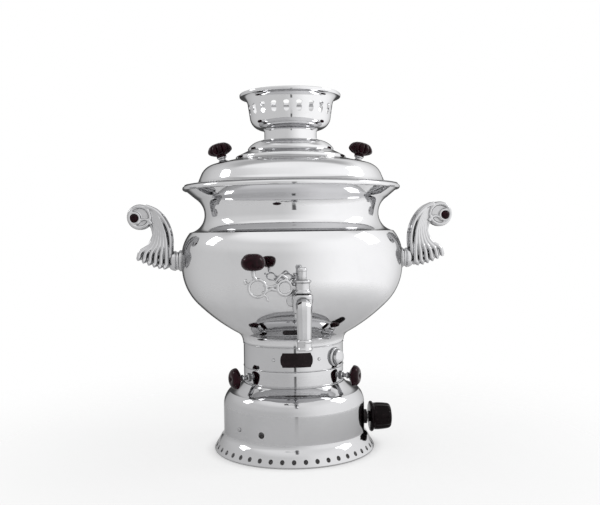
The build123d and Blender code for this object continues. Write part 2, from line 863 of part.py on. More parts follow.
def make_tap_body():
    inlet = peg(front(0, 0, tap_z), tap_inlet_d, belly_at_tap - 14, tap_reach)
    barrel = tap_axis * Pos(0, 0, tap_z) * Cylinder(barrel_d / 2, barrel_h)
    collar = tap_axis * Pos(0, 0, barrel_top_z - barrel_collar_h / 2)
    collar *= Cylinder(barrel_collar_d / 2, barrel_collar_h)
    start = Plane(origin=spout_path @ 0, z_dir=spout_path % 0)
    spout = sweep(start * Circle(spout_d / 2), path=spout_path)
    tip = Pos(0, spout_y, 0) * spun_polygon(
        (0, spout_tip_z + 8),
        (spout_d / 2, spout_tip_z + 8),
        (spout_tip_d / 2, spout_tip_z + 2.5),
        (spout_tip_d / 2 + 0.8, spout_tip_z + 1.5),
        (spout_tip_d / 2 + 0.8, spout_tip_z),
        (0, spout_tip_z),
    )
    solid = inlet + barrel + collar + spout + tip
    solid -= peg(front(0, 0, tap_z), tap_bore_d, belly_at_tap - 20, tap_reach)
    solid -= sweep(start * Circle(spout_bore_d / 2), path=spout_path)
    solid -= Pos(0, spout_y, spout_tip_z + 4) * Cylinder(spout_bore_d / 2, 12)
    return solid - plug_bore


def make_tap_rosette():
    half = rosette_d / 2
    rosette = turned(
        front(0, 0, tap_z),
        (tap_inlet_d / 2, belly_at_tap - 12),
        (half, belly_at_tap - 12),
        (half, belly_at_tap - 1),
        (half - 2, belly_at_tap + 2),
        (half - 6, belly_at_tap + 4),
        (tap_inlet_d / 2 + 1, belly_at_tap + 7),
        (tap_inlet_d / 2, belly_at_tap + 7),
    )
    notch_r = half + 1.5
    for i in range(rosette_lobes):
        turn = 360 * (i + 0.5) / rosette_lobes
        plane = front(0, 0, tap_z) * Rot(0, 0, turn) * Pos(notch_r, 0, 0)
        rosette -= peg(plane, rosette_notch_d, belly_at_tap - 14, belly_at_tap + 8)
    return rosette - bowl_block


def make_tap_nut():
    nut = extrude(front(0, belly_at_tap - 13, tap_z) * RegularPolygon(tap_inlet_d / 2 + 5, 6), 13)
    nut -= peg(front(0, 0, tap_z), tap_inlet_d, 0, belly_r)
    return (nut & bowl_block) - vessel_bowl


def make_tap_plug():
    """The turning plug, with its port square to the flow while the key points aside."""
    plug = Pos(0, 0, barrel_bottom_z - 6) * Cylinder(
        plug_d / 2, barrel_h + 6 + plug_shoulder, align=(Align.CENTER, Align.CENTER, Align.MIN)
    )
    shaft = Pos(0, 0, barrel_top_z + plug_shoulder) * Cylinder(
        shaft_d / 2, shaft_up - barrel_h / 2 - plug_shoulder, align=(Align.CENTER, Align.CENTER, Align.MIN)
    )
    port = Pos(0, 0, tap_z) * Rot(0, 90, 0) * Cylinder(tap_bore_d / 2, 2 * plug_d)
    return tap_axis * (plug + shaft - port)


def make_plug_nut():
    nut = extrude(RegularPolygon(plug_d / 2 + 2, 6), plug_nut_h)
    nut = Pos(0, 0, barrel_bottom_z - 3 * seat_gap - plug_nut_h) * nut
    return tap_axis * (nut - Cylinder(plug_d / 2, 4 * tap_z))


def make_tap_key():
    """The open-work key: two rings in line, joined by bars, with curls and a stem for the knob."""
    ring_r = key_ring_d / 2 + 1
    far_place = Pos(-key_ring_far, key_z) * Rot(0, 0, 18)
    near = Pos(-key_ring_near, key_z) * Circle(ring_r)
    far = far_place * RegularPolygon(ring_r, 5)
    bar = Rectangle(key_ring_far - key_ring_near, key_bar * 1.6)
    bar = Pos(-(key_ring_near + key_ring_far) / 2, key_z) * bar
    link = Pos(-key_ring_near / 2, key_z) * Rectangle(key_ring_near, key_bar * 2)
    stem_low = key_z + ring_r - 2
    stem_high = key_knob_z - key_knob_h / 2 + 1
    stem = Pos(-key_knob_x, (stem_low + stem_high) / 2) * Rectangle(key_bar * 1.3, stem_high - stem_low)
    spike = Pos(-key_ring_near - 2, key_z + ring_r) * RegularPolygon(key_spike, 3, rotation=90)
    curl = Circle(key_curl_d / 2)
    arm = Rectangle(key_bar * 0.9, ring_r)
    curls = Pos(-key_ring_far - ring_r * 1.17, key_z + ring_r * 0.82) * curl
    curls += Pos(-key_ring_far + ring_r * 1.24, key_z - ring_r * 1.3) * curl
    arms = Pos(-key_ring_far - ring_r * 0.94, key_z + ring_r * 0.58) * Rotation(0, 0, 45) * arm
    arms += Pos(-key_ring_far + ring_r, key_z - ring_r) * Rotation(0, 0, 40) * arm
    plate = near + far + bar + link + stem + spike + curls + arms
    plate -= Pos(-key_ring_near, key_z) * Circle(ring_r - key_bar)
    plate -= far_place * RegularPolygon(ring_r - key_bar, 5)
    blade = extrude(Plane.XZ * plate, key_t / 2, both=True)
    hub = Pos(0, 0, barrel_top_z + plug_shoulder) * Cylinder(
        key_hub_d / 2, key_hub_h, align=(Align.CENTER, Align.CENTER, Align.MIN)
    )
    return tap_axis * (blade + hub - Pos(0, 0, key_z) * Cylinder(shaft_d / 2, 2 * key_ring_d))


def make_tap_knob():
    flat_z = key_knob_z - key_knob_h / 2 + 1
    egg = Pos(-key_knob_x, 0, key_knob_z) * scale(Sphere(0.5), (key_knob_d, key_knob_h, key_knob_h))
    return tap_axis * (egg - Pos(-key_knob_x, 0, flat_z - 5) * Box(key_knob_d, key_knob_d, 10))


save(make_tap_body(), "tap_body")
save(make_tap_rosette(), "tap_rosette")
save(make_tap_nut(), "tap_nut")
save(make_tap_plug(), "tap_plug")
save(make_plug_nut(), "plug_nut")
save(make_tap_key(), "tap_key")
save(make_tap_knob(), "tap_knob")


# ---- lid ----------------------------------------------------------------------------------

collar_r = flue_r + slip_gap
brim_z = rim_z + rim_bead + seat_gap + lid_brim_t
lid_slope = (lid_slope_h - lid_step_h) / lid_slope_w


def make_lid():
    outer_r = collar_r + lid_collar_w
    collar = Polyline((collar_r, lid_top_z), (outer_r, lid_top_z), (outer_r, lid_top_z - 1.6))
    dome = RadiusArc(collar @ 1, (lid_dome_r, lid_dome_z), 20)
    step = Polyline(
        (lid_dome_r, lid_dome_z), (lid_dome_r, lid_dome_z - lid_dome_h), (lid_step_r - 3, lid_step_z + 1.6)
    )
    edge = RadiusArc(step @ 1, (lid_step_r, lid_step_z - 1), 3.4)
    slope = Polyline(edge @ 1, (lid_step_r, lid_step_z - lid_step_h), (lid_crown_r, lid_crown_z))
    shoulder = RadiusArc(slope @ 1, (lid_edge_r, lid_edge_z), 20)
    wall = Line(shoulder @ 1, (lid_foot_r, lid_foot_z))
    cove = RadiusArc(wall @ 1, (lid_foot_r + 7, brim_z), -9)
    brim = Line(cove @ 1, (rim_r - rim_bead, brim_z))
    shell = spun_shell(collar + dome + step + edge + slope + shoulder + wall + cove + brim, side=Side.RIGHT)
    skirt_r = rim_r - lid_skirt_in
    skirt = spun_polygon(
        (skirt_r - sheet, brim_z - sheet / 2),
        (skirt_r, brim_z - sheet / 2),
        (skirt_r, brim_z - lid_skirt_h),
        (skirt_r - sheet, brim_z - lid_skirt_h),
    )
    holes = [peg(knob_plane(side), lid_screw_d, -10, 10) for side in (-1, 1)]
    return shell + skirt - holes


def knob_plane(side):
    """The plane on the lid's slope that a knob stands on."""
    tilt = Vector(side * lid_slope, 0, 1).normalized()
    height = lid_crown_z + lid_knob_in * lid_slope
    return Plane(origin=(side * (lid_crown_r - lid_knob_in), 0, height), x_dir=(0, 1, 0), z_dir=tilt)


def make_lid_ferrule(side):
    half = lid_ferrule_d / 2
    ferrule = turned(
        knob_plane(side),
        (lid_screw_d / 2, 0),
        (half + 1.5, 0),
        (half + 1.5, 1),
        (half - 1.5, 2.5),
        (half - 1.5, lid_ferrule_h - 2),
        (half, lid_ferrule_h),
        (lid_screw_d / 2, lid_ferrule_h),
    )
    return ferrule


def make_lid_knob(side):
    plane = knob_plane(side) * Pos(0, 0, lid_ferrule_h)
    half = lid_knob_d / 2
    foot = lid_ferrule_d / 2
    middle = lid_knob_h / 2
    under = RadiusArc((foot, lid_knob_neck), (half, middle), -half)
    over = RadiusArc((half, middle), (0, lid_knob_h), -(half**2 + middle**2) / (2 * middle))
    side_line = Polyline((0, lid_knob_h), (0, 0), (foot, 0), (foot, lid_knob_neck))
    knob = spun([under, over, side_line])
    flute = Pos(half + 1.2, 0, middle) * Cylinder(3, lid_knob_h * 1.2)
    knob -= [Rot(0, 0, 360 * i / lid_knob_flutes) * flute for i in range(lid_knob_flutes)]
    knob -= Cylinder(lid_screw_d / 2, 12)
    return plane * knob


def make_lid_screw(side):
    shank = peg(knob_plane(side), lid_screw_d, -sheet, lid_ferrule_h + 5)
    return shank + peg(knob_plane(side), lid_screw_d + 4, -sheet - 2.1, -sheet - 0.1)


save(make_lid(), "lid_dome")
save([make_lid_ferrule(-1), make_lid_ferrule(1)], "lid_ferrules")
save(make_lid_knob(-1), "lid_knob_left")
save(make_lid_knob(1), "lid_knob_right")
save([make_lid_screw(-1), make_lid_screw(1)], "lid_screws")


# ---- crown --------------------------------------------------------------------------------

crown_neck_r = collar_r + sheet
crown_bottom_z = lid_top_z + seat_gap


def make_crown_neck():
    tube = Line((crown_neck_r, crown_bottom_z), (crown_neck_r, crown_neck_z - 2))
    cove = RadiusArc(tube @ 1, (crown_neck_r + 4.5, crown_neck_z + 1), 5.5)
    downwards = (-crown_foot_in, -gallery_h)
    bowl = backwards(TangentArc((crown_foot_r, crown_foot_z), cove @ 1, tangent=downwards))
    return spun_shell(tube + cove + bowl)


def make_crown_gallery():
    """The pierced band, with a ring of keyhole openings."""
    band = spun_shell(Line((crown_foot_r, crown_foot_z), (crown_r, crown_rim_z)))
    low_z = crown_foot_z + piercing_low_up
    high_z = crown_foot_z + piercing_high_up
    keyhole = Pos(low_z, 0) * Circle(piercing_low_d / 2)
    keyhole += Pos((low_z + high_z) / 2, 0) * Rectangle(high_z - low_z, piercing_waist)
    keyhole += Pos(high_z, 0) * RectangleRounded(piercing_high_h, piercing_high_w, piercing_high_h * 0.48)
    half_pitch = 180 / piercing_count
    cutter = extrude(front(half_pitch) * Pos(0, 0, crown_r - 10) * keyhole, 20)
    return band - [Rot(0, 0, 360 * i / piercing_count) * cutter for i in range(piercing_count)]


def make_crown_rim():
    flare_end = (crown_r + crown_flare, crown_rim_z + crown_flare)
    flare = TangentArc((crown_r, crown_rim_z), flare_end, tangent=(crown_foot_in, gallery_h))
    lip = Pos(crown_r + crown_lip_out - crown_lip_w / 2, crown_rim_z + crown_h - crown_lip_w / 2)
    lip *= RectangleRounded(crown_lip_w, crown_lip_w, crown_lip_w * 0.35)
    return spun_shell(flare) + revolve(Plane.XZ * lip, Axis.Z)


save(make_crown_neck(), "crown_neck")
save(make_crown_gallery(), "crown_gallery")
save(make_crown_rim(), "crown_rim")
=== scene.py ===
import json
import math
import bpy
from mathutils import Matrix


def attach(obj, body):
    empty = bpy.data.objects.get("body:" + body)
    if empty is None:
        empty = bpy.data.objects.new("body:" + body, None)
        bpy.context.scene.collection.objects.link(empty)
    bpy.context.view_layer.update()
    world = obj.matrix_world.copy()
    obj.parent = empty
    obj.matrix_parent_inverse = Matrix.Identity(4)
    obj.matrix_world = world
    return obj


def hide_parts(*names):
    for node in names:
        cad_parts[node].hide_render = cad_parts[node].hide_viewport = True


bl_info = {
    "name": "Gas samovar",
    "version": (1, 0, 0),
    "blender": (4, 5, 0),
    "location": "3D View > Sidebar > Samovar",
    "description": "Dresses the samovar's frame with spun shells, cast handles, a tap and finishes",
    "category": "Object",
}

import bmesh
import bpy
from bpy.props import FloatProperty, FloatVectorProperty, IntProperty, PointerProperty
from mathutils import Matrix, Vector

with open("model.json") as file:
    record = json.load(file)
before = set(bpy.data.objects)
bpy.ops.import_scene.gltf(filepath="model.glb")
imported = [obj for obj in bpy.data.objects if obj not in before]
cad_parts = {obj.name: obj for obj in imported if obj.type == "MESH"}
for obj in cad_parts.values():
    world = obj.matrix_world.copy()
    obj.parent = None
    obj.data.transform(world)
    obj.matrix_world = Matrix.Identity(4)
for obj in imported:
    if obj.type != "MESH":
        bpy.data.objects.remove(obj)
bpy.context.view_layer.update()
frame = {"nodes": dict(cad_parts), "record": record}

# Where the pieces stand, in millimetres, with -Y to the front and Z up, or in degrees from the front.
PEEP_ANGLE = -29.3
GAS_Z = 32.0
THUMB_Z = 88.0
THUMB_ANGLE = 65.0
PLATE_Z = 112.2
IGNITER_Z = 112.0
IGNITER_ANGLE = 50.0
HANDLE_Z = 224.5
VOLUTE = (179.2, 276.7)
EYE = (185.4, 275.4)
TAP_Z = 186.0
PLUG_Y = -160.0
SPOUT_Y = -178.5
PLUG_AXIS = Matrix.Translation((0, PLUG_Y, 0))
KEY_KNOB_X = -48.5
LID_KNOB_X = 80.5

# Corners, each a radius and a height. The belly's arc runs from its foot up to BELLY_Z, and the knobs
# of the lid stand on the cone between the last two.
BELLY_FOOT = (112.0, 173.0)
BELLY_Z = 218.0
NECK_FOOT = (121.0, 257.5)
CONE_FOOT = (90.0, 337.5)
CONE_TOP = (65.8, 343.5)

MM = 0.001
# An edge sharper than this many degrees isn't smoothed, and a turned piece starts at the front.
SHARP = 32.0
FRONT = -90.0

# The stage, in metres and degrees.
LENS = 45.6
CAMERA_REACH = 0.912
CAMERA_HEIGHT = 0.258
CAMERA_SIDE = -3.5
CAMERA_PITCH = -1.62
CAMERA_ROLL = 0.75
LAMP_REACH = 1.3
LAMP_AIM = 0.22
PLAIN_LIGHT = 0.7
WHITE = (1, 1, 1, 1)


# ---- sizes and colours ----------------------------------------------------------------------


def length(name, description, default):
    return FloatProperty(name=name, description=description, default=default * MM, min=0.0, unit="LENGTH")


def colour(name, description, default):
    settings = {"default": default, "subtype": "COLOR", "min": 0, "max": 1}
    return FloatVectorProperty(name=name, description=description, **settings)


def number(name, description, default, least):
    return IntProperty(name=name, description=description, default=default, min=least)


class SamovarSizes(bpy.types.PropertyGroup):
    sheet: length("Sheet", "Thickness of the spun steel", 1.0)
    base_radius: length("Base radius", "Radius of the base's upright wall", 84.3)
    stand_radius: length("Stand radius", "Radius of the stand under the vessel", 59.5)
    belly_radius: length("Belly radius", "Largest radius of the water vessel", 131.0)
    vent_count: number("Vents", "Round vents in the base's flare", 45, 8)
    vent_size: length("Vent size", "Diameter of a vent in the flare", 5.0)
    keyhole_count: number("Keyholes", "Keyholes round the crown", 21, 8)
    petal_count: number("Petals", "Petals round each lid knob", 12, 5)
    knurl_count: number("Knurls", "Teeth round each small knurled nut", 24, 8)
    strand_count: number("Leaf strands", "Strands on each face of a handle's leaf", 6, 2)
    waviness: FloatProperty(
        name="Waviness", description="How far hand finishing leaves the sheet uneven", default=1.0, min=0
    )


class SamovarFinishes(bpy.types.PropertyGroup):
    steel: colour("Steel", "Mirror-polished stainless sheet", (0.66, 0.66, 0.67))
    # The same steel painted darker, as painted shade for the shadow that the base and the stand reflect.
    stand_steel: colour("Shaded stand steel", "Steel of the base and the stand, painted darker as shade", (0.52, 0.52, 0.53))
    chrome: colour("Chrome", "Bright plating on the castings", (0.54, 0.54, 0.55))
    plain_steel: colour("Plain steel", "Unpolished sheet inside", (0.42, 0.42, 0.43))
    brass: colour("Brass", "Turned brass of the valve", (0.72, 0.56, 0.28))
    copper: colour("Copper", "Drawn gas pipe", (0.72, 0.42, 0.26))
    burgundy: colour("Burgundy", "Dark bakelite of the knobs", (0.026, 0.003, 0.008))
    black: colour("Black", "Black knob and plate", (0.0045, 0.0026, 0.003))
    ceramic: colour("Ceramic", "Insulator of the spark electrode", (0.85, 0.83, 0.78))


def sizes():
    return bpy.context.scene.samovar_sizes


def mm(name):
    """A length of the panel, in millimetres."""
    return getattr(sizes(), name) / MM


# ---- outlines -------------------------------------------------------------------------------


class Outline:
    """The side of a spun piece, drawn as radius and height in millimetres."""

    def __init__(self, r, z):
        self.points = [Vector((r, z))]
        self.heading = math.pi / 2

    def line(self, r, z, parts=1):
        start, end = self.points[-1], Vector((r, z))
        self.points += [start.lerp(end, (i + 1) / parts) for i in range(parts)]
        self.heading = math.atan2(end.y - start.y, end.x - start.x)
        return self

    def bend(self, r, z, parts=8, heading=None):
        """A round arc to r, z that sets off in the present heading, or in the one given in degrees."""
        if heading is not None:
            self.heading = math.radians(heading)
        start = self.points[-1].copy()
        chord = Vector((r, z)) - start
        half = math.atan2(chord.y, chord.x) - self.heading
        half = (half + math.pi) % (2 * math.pi) - math.pi
        for i in range(1, parts + 1):
            turn = half * i / parts
            reach = chord.length * (math.sin(turn) / math.sin(half) if abs(half) > 1e-4 else i / parts)
            a = self.heading + turn
            self.points.append(start + Vector((math.cos(a), math.sin(a))) * reach)
        self.heading += 2 * half
        return self


def walled(points, wall):
    """Both faces of a sheet: the one drawn, then the one behind it on its left, back to the start."""
    behind = []
    for i, p in enumerate(points):
        before = (p - points[i - 1]).normalized() if i else None
        after = (points[i + 1] - p).normalized() if i + 1 < len(points) else None
        before, after = before or after, after or before
        across = (before + after).normalized()
        normal = Vector((-across.y, across.x))
        stretch = max(0.5, normal.dot(Vector((-before.y, before.x))))
        behind.append(p + normal * wall / stretch)
    return points + behind[::-1]


def eased(corners, radius=0.4, steps=3):
    """A closed outline with each corner rounded off."""
    result = []
    count = len(corners)
    for i in range(count):
        p = Vector(corners[i])
        to_last, to_next = Vector(corners[i - 1]) - p, Vector(corners[(i + 1) % count]) - p
        if p.x < 1e-6:
            result.append(p)
            continue
        cut = min(radius, to_last.length * 0.45, to_next.length * 0.45)
        a, b = p + to_last.normalized() * cut, p + to_next.normalized() * cut
        for k in range(steps + 1):
            t = k / steps
            result.append(a * (1 - t) ** 2 + p * 2 * t * (1 - t) + b * t**2)
    return result


# ---- meshes ---------------------------------------------------------------------------------


def ramp(value, low, high):
    """0 up to low, 1 from high on and a straight rise between."""
    return max(0.0, min(1.0, (value - low) / (high - low)))


def polar(r, a, z):
    return Vector((r * math.cos(a), r * math.sin(a), z))


def mesh_of(name, bm):
    mesh = bpy.data.meshes.new(name)
    bm.to_mesh(mesh)
    bm.free()
    return mesh


def copied(*objects):
    """One bmesh from the meshes of these objects."""
    bm = bmesh.new()
    for obj in objects:
        bm.from_mesh(obj.data)
    return bm


def in_scene(name, data):
    """A new object for a mesh, curve, camera or lamp."""
    obj = bpy.data.objects.new(name, data)
    bpy.context.scene.collection.objects.link(obj)
    return obj


def smooth(obj, angle=SHARP):
    """Shades a mesh smooth, apart from its edges sharper than this angle."""
    obj.data.shade_smooth()
    obj.data.set_sharp_from_angle(angle=math.radians(angle))
    return obj


def made(name, bm, unit=MM):
    """A smooth-shaded object from a bmesh, which is drawn in millimetres unless a unit is given."""
    bmesh.ops.scale(bm, vec=(unit, unit, unit), verts=bm.verts)
    return smooth(in_scene(name, mesh_of(name, bm)))


def bridge(bm, first, second, flip=False):
    """A ring of faces between two closed loops of vertices."""
    for n in range(len(first)):
        m = (n + 1) % len(first)
        face = [first[n], first[m], second[m], second[n]]
        bm.faces.new(face[::-1] if flip else face)


def runs_forwards(points):
    """True where a closed outline runs with its inside on the left."""
    following = points[1:] + points[:1]
    return sum(p.x * q.y - q.x * p.y for p, q in zip(points, following)) > 0


def turn_rings(bm, outline, segments, place, holes, open_ends):
    """Turns a closed outline about Z.

    Each hole is (first row, rows, first column, columns, radius, lift). open_ends names the ends
    of a walled sheet, low or high, that are left open for a neighbour to weld to.
    """
    outline = [Vector(p) for p in outline]
    if not runs_forwards(outline):
        outline.reverse()
    place = place or Matrix.Identity(4)
    count = len(outline)
    rings = []
    for p in outline:
        if p.x < 1e-5:
            rings.append([bm.verts.new(place @ Vector((0, 0, p.y)))] * segments)
            continue
        angles = [math.radians(FRONT) + 2 * math.pi * j / segments for j in range(segments)]
        rings.append([bm.verts.new(place @ polar(p.x, a, p.y)) for a in angles])
    skipped = set()
    for row, rows, column, columns, _radius, _lift in holes:
        for i in range(row, row + rows):
            for j in range(column, column + columns):
                skipped.add((i % count, j % segments))
                skipped.add(((count - 2 - i) % count, j % segments))
    if "low" in open_ends:
        skipped |= {(count - 1, j) for j in range(segments)}
    if "high" in open_ends:
        skipped |= {(count // 2 - 1, j) for j in range(segments)}
    for i in range(count):
        lower, upper = rings[i], rings[(i + 1) % count]
        for j in range(segments):
            if (i, j) in skipped:
                continue
            k = (j + 1) % segments
            corners = [lower[j], lower[k], upper[k], upper[j]]
            corners = [v for n, v in enumerate(corners) if v not in corners[:n]]
            if len(corners) > 2:
                bm.faces.new(corners)
    for hole in holes:
        cut_round_hole(bm, rings, outline, segments, hole)


def cut_round_hole(bm, rings, outline, segments, hole):
    """Fills the gap left in an upright wall with a ring of faces round a round hole."""
    row, rows, column, columns, radius, lift = hole
    count = len(outline)
    edge = [(row, column + j) for j in range(columns)]
    edge += [(row + i, column + columns) for i in range(rows)]
    edge += [(row + rows, column + columns - j) for j in range(columns)]
    edge += [(row + rows - i, column) for i in range(rows)]
    loops = []
    for inner in (False, True):
        at = [(count - 1 - i if inner else i, j) for i, j in edge]
        border = [rings[i % count][j % segments] for i, j in at]
        wall_r = outline[at[0][0]].x
        middle_a = 2 * math.pi * (column + columns / 2) / segments
        middle_z = (outline[row].y + outline[row + rows].y) / 2 + lift
        rim = []
        for i, j in edge:
            x = (2 * math.pi * j / segments - middle_a) * outline[row].x
            y = outline[i].y - middle_z
            scale = radius / math.hypot(x, y)
            a = math.radians(FRONT) + middle_a + x * scale / outline[row].x
            rim.append(bm.verts.new(polar(wall_r, a, middle_z + y * scale)))
        bridge(bm, border, rim, flip=inner)
        loops.append(rim)
    bridge(bm, *loops)


def spun(name, *outlines, segments=192, place=None, holes=(), open_ends=""):
    """A turned piece from one or more closed outlines. The holes are the first one's."""
    bm = bmesh.new()
    for outline in outlines:
        turn_rings(bm, outline, segments, place, holes, open_ends)
        holes = ()
    return made(name, bm)


def out_from(angle, height, start=0.0):
    """The place on the axis at this height whose Z points outwards at this angle from the front."""
    a = math.radians(angle)
    direction = Vector((math.sin(a), -math.cos(a), 0))
    turn = Vector((0, 0, 1)).rotation_difference(direction).to_matrix().to_4x4()
    return Matrix.Translation(direction * start + Vector((0, 0, height))) @ turn


def baked(obj):
    """The object with its modifiers turned into plain mesh."""
    graph = bpy.context.evaluated_depsgraph_get()
    mesh = bpy.data.meshes.new_from_object(obj.evaluated_get(graph))
    obj.modifiers.clear()
    if obj.type == "MESH":
        obj.data = mesh
        return obj
    result = in_scene(obj.name, mesh)
    bpy.data.objects.remove(obj)
    return result


def joined(name, *objects):
    """One mesh object from several."""
    bm = copied(*objects)
    for obj in objects:
        bpy.data.objects.remove(obj)
    return made(name, bm, unit=1)


def mirrored(obj, name):
    """A copy on the other side of the samovar."""
    bm = copied(obj)
    bmesh.ops.scale(bm, vec=(-1, 1, 1), verts=bm.verts)
    bmesh.ops.reverse_faces(bm, faces=bm.faces)
    return made(name, bm, unit=1)


def loft(bm, sections, sides=40):
    """Skins a row of oval sections: each one's x and z, its heading in x and z, half width and half depth."""
    rings = []
    for x, z, along_x, along_z, half_width, half_depth in sections:
        wide = Vector((0, 1, 0)).cross(Vector((along_x, 0, along_z)).normalized()).normalized()
        ring = []
        for j in range(sides):
            a = 2 * math.pi * j / sides
            offset = wide * math.cos(a) * half_width + Vector((0, 1, 0)) * math.sin(a) * half_depth
            ring.append(bm.verts.new(Vector((x, 0, z)) + offset))
        rings.append(ring)
    for lower, upper in zip(rings, rings[1:]):
        bridge(bm, lower, upper)
    bm.faces.new(rings[0][::-1])
    bm.faces.new(rings[-1])
    bmesh.ops.recalc_face_normals(bm, faces=bm.faces)


def between(p, q, r, s, t):
    """A curve through four values, at a share t of the way from the second to the third."""
    square = 2 * p - 5 * q + 4 * r - s
    cube = 3 * q - p - 3 * r + s
    return 0.5 * (2 * q + (r - p) * t + square * t**2 + cube * t**3)


def smooth_path(points, steps):
    """Points along a curve that passes through the ones given."""
    result = []
    last = len(points) - 1
    for i in range(last):
        near = [points[max(0, min(last, i + k))] for k in (-1, 0, 1, 2)]
        for s in range(steps):
            result.append([between(*values, s / steps) for values in zip(*near)])
    return [*result, points[-1]]


def strand(name, points, radii, resolution=6, cyclic=False):
    """A round bar through the points, in millimetres, as a mesh."""
    curve = bpy.data.curves.new(name, "CURVE")
    curve.dimensions = "3D"
    curve.bevel_depth = MM
    curve.bevel_resolution = 3
    curve.use_fill_caps = True
    spline = curve.splines.new("NURBS")
    spline.points.add(len(points) - 1)
    for i, p in enumerate(points):
        spline.points[i].co = (*(Vector(p) * MM), 1)
        spline.points[i].radius = radii[i] if isinstance(radii, (list, tuple)) else radii
    spline.order_u = 3
    spline.use_endpoint_u = not cyclic
    spline.use_cyclic_u = cyclic
    spline.resolution_u = resolution
    return baked(in_scene(name, curve))


def loop_points(x, y, z, r, count):
    """Points round an upright circle that faces the front."""
    angles = [2 * math.pi * i / count for i in range(count)]
    return [(x + r * math.cos(a), y, z + r * math.sin(a)) for a in angles]


def cast(obj, voxel, rounds):
    """Melts overlapping shapes into one casting with soft edges."""
    remesh = obj.modifiers.new("Cast", "REMESH")
    remesh.mode = "VOXEL"
    remesh.voxel_size = voxel * MM
    soften = obj.modifiers.new("Soften", "SMOOTH")
    soften.factor = 0.5
    soften.iterations = rounds
    baked(obj)
    obj.data.shade_smooth()
    return obj


# ---- node trees -----------------------------------------------------------------------------


def once(name):
    """Marks what builds a node group. It builds only if the file has no group of that name yet."""
    return lambda build: lambda: bpy.data.node_groups.get(name) or build(name)


def socket(tree, name, kind, default=None, out=False):
    item = tree.interface.new_socket(name, in_out="OUTPUT" if out else "INPUT", socket_type=kind)
    if default is not None:
        item.default_value = default


def feed(tree, target, value):
    """Gives an input a plain value, or links an output to it."""
    if isinstance(value, bpy.types.NodeSocket):
        tree.links.new(value, target)
    else:
        target.default_value = value


def node(tree, kind, inputs=(), out=0, **settings):
    """Adds a node with its settings and inputs, and gives one of its outputs, if it has any."""
    item = tree.nodes.new(kind)
    for label, value in settings.items():
        setattr(item, label, value)
    for label, value in dict(inputs).items():
        feed(tree, item.inputs[label], value)
    return item.outputs[out] if item.outputs else None


def split(tree, vector):
    """The X, Y and Z of a vector."""
    return node(tree, "ShaderNodeSeparateXYZ", {0: vector}).node.outputs


# ---- repeating pieces -----------------------------------------------------------------------


@once("Repeat round the axis")
def ring_tree(name):
    """Repeats a piece round the samovar's axis, adds what it belongs to and welds the two."""
    tree = bpy.data.node_groups.new(name, "GeometryNodeTree")
    socket(tree, "Geometry", "NodeSocketGeometry")
    socket(tree, "Count", "NodeSocketInt", 12)
    socket(tree, "Step", "NodeSocketFloat", 0.5)
    socket(tree, "Weld distance", "NodeSocketFloat", 0.00001)
    socket(tree, "Rest of the piece", "NodeSocketObject")
    socket(tree, "Material", "NodeSocketMaterial")
    socket(tree, "Geometry", "NodeSocketGeometry", out=True)
    given = tree.nodes.new("NodeGroupInput").outputs
    points = node(tree, "GeometryNodeMeshLine", {"Count": given["Count"], "Offset": (0, 0, 0)})
    index = node(tree, "GeometryNodeInputIndex")
    angle = node(tree, "ShaderNodeMath", {0: index, 1: given["Step"]}, operation="MULTIPLY")
    turn = node(tree, "ShaderNodeCombineXYZ", {"Z": angle})
    places = {"Points": points, "Instance": given["Geometry"], "Rotation": turn}
    real = node(tree, "GeometryNodeRealizeInstances", {0: node(tree, "GeometryNodeInstanceOnPoints", places)})
    rest = node(tree, "GeometryNodeObjectInfo", {"Object": given["Rest of the piece"]}, "Geometry")
    both = node(tree, "GeometryNodeJoinGeometry", {0: real})
    tree.links.new(rest, both.node.inputs[0])
    weld = node(tree, "GeometryNodeMergeByDistance", {"Geometry": both, "Distance": given["Weld distance"]})
    finished = node(tree, "GeometryNodeSetMaterial", {"Geometry": weld, "Material": given["Material"]})
    node(tree, "NodeGroupOutput", {0: finished})
    return tree


def repeated(obj, count, look, rest=None, weld=0.01, angle=SHARP, step=None):
    """Repeats a mesh round the Z axis, a whole turn unless a step in degrees is given, and welds it."""
    tree = ring_tree()
    modifier = obj.modifiers.new("Repeat", "NODES")
    modifier.node_group = tree
    names = {item.name: item.identifier for item in tree.interface.items_tree if item.in_out == "INPUT"}
    values = {
        "Count": count,
        "Step": math.radians(step) if step else 2 * math.pi / count,
        "Weld distance": weld * MM,
        "Rest of the piece": rest,
        "Material": bpy.data.materials[look],
    }
    for label, value in values.items():
        modifier[names[label]] = value
    obj.data.materials.append(values["Material"])
    baked(obj)
    if rest:
        bpy.data.objects.remove(rest)
    return smooth(obj, angle)


def petalled(name, outline, count, depth, look, place, parts=10, sharpness=2.0, angle=40.0):
    """A turned piece with grooves round it. depth(r, z) is the share of the radius that a groove takes."""
    points = [Vector(p) for p in outline]
    if not runs_forwards(points):
        points.reverse()
    half = math.pi / count
    bm = bmesh.new()
    columns = []
    for j in range(parts + 1):
        u = -1 + 2 * j / parts
        column = []
        for p in points:
            r = p.x * (1 - depth(p.x, p.y) * abs(u) ** sharpness)
            column.append(bm.verts.new(polar(r, u * half, p.y)))
        columns.append(column)
    for left, right in zip(columns, columns[1:]):
        for i in range(len(points)):
            k = (i + 1) % len(points)
            if points[i].x < 1e-5 and points[k].x < 1e-5:
                continue
            bm.faces.new([left[i], right[i], right[k], left[k]])
    bmesh.ops.remove_doubles(bm, verts=bm.verts, dist=1e-4)
    piece = made(name, bm)
    repeated(piece, count, look, angle=angle, weld=0.005)
    piece.data.transform(Matrix.Translation(place.to_translation() * MM) @ place.to_3x3().to_4x4())
    return piece


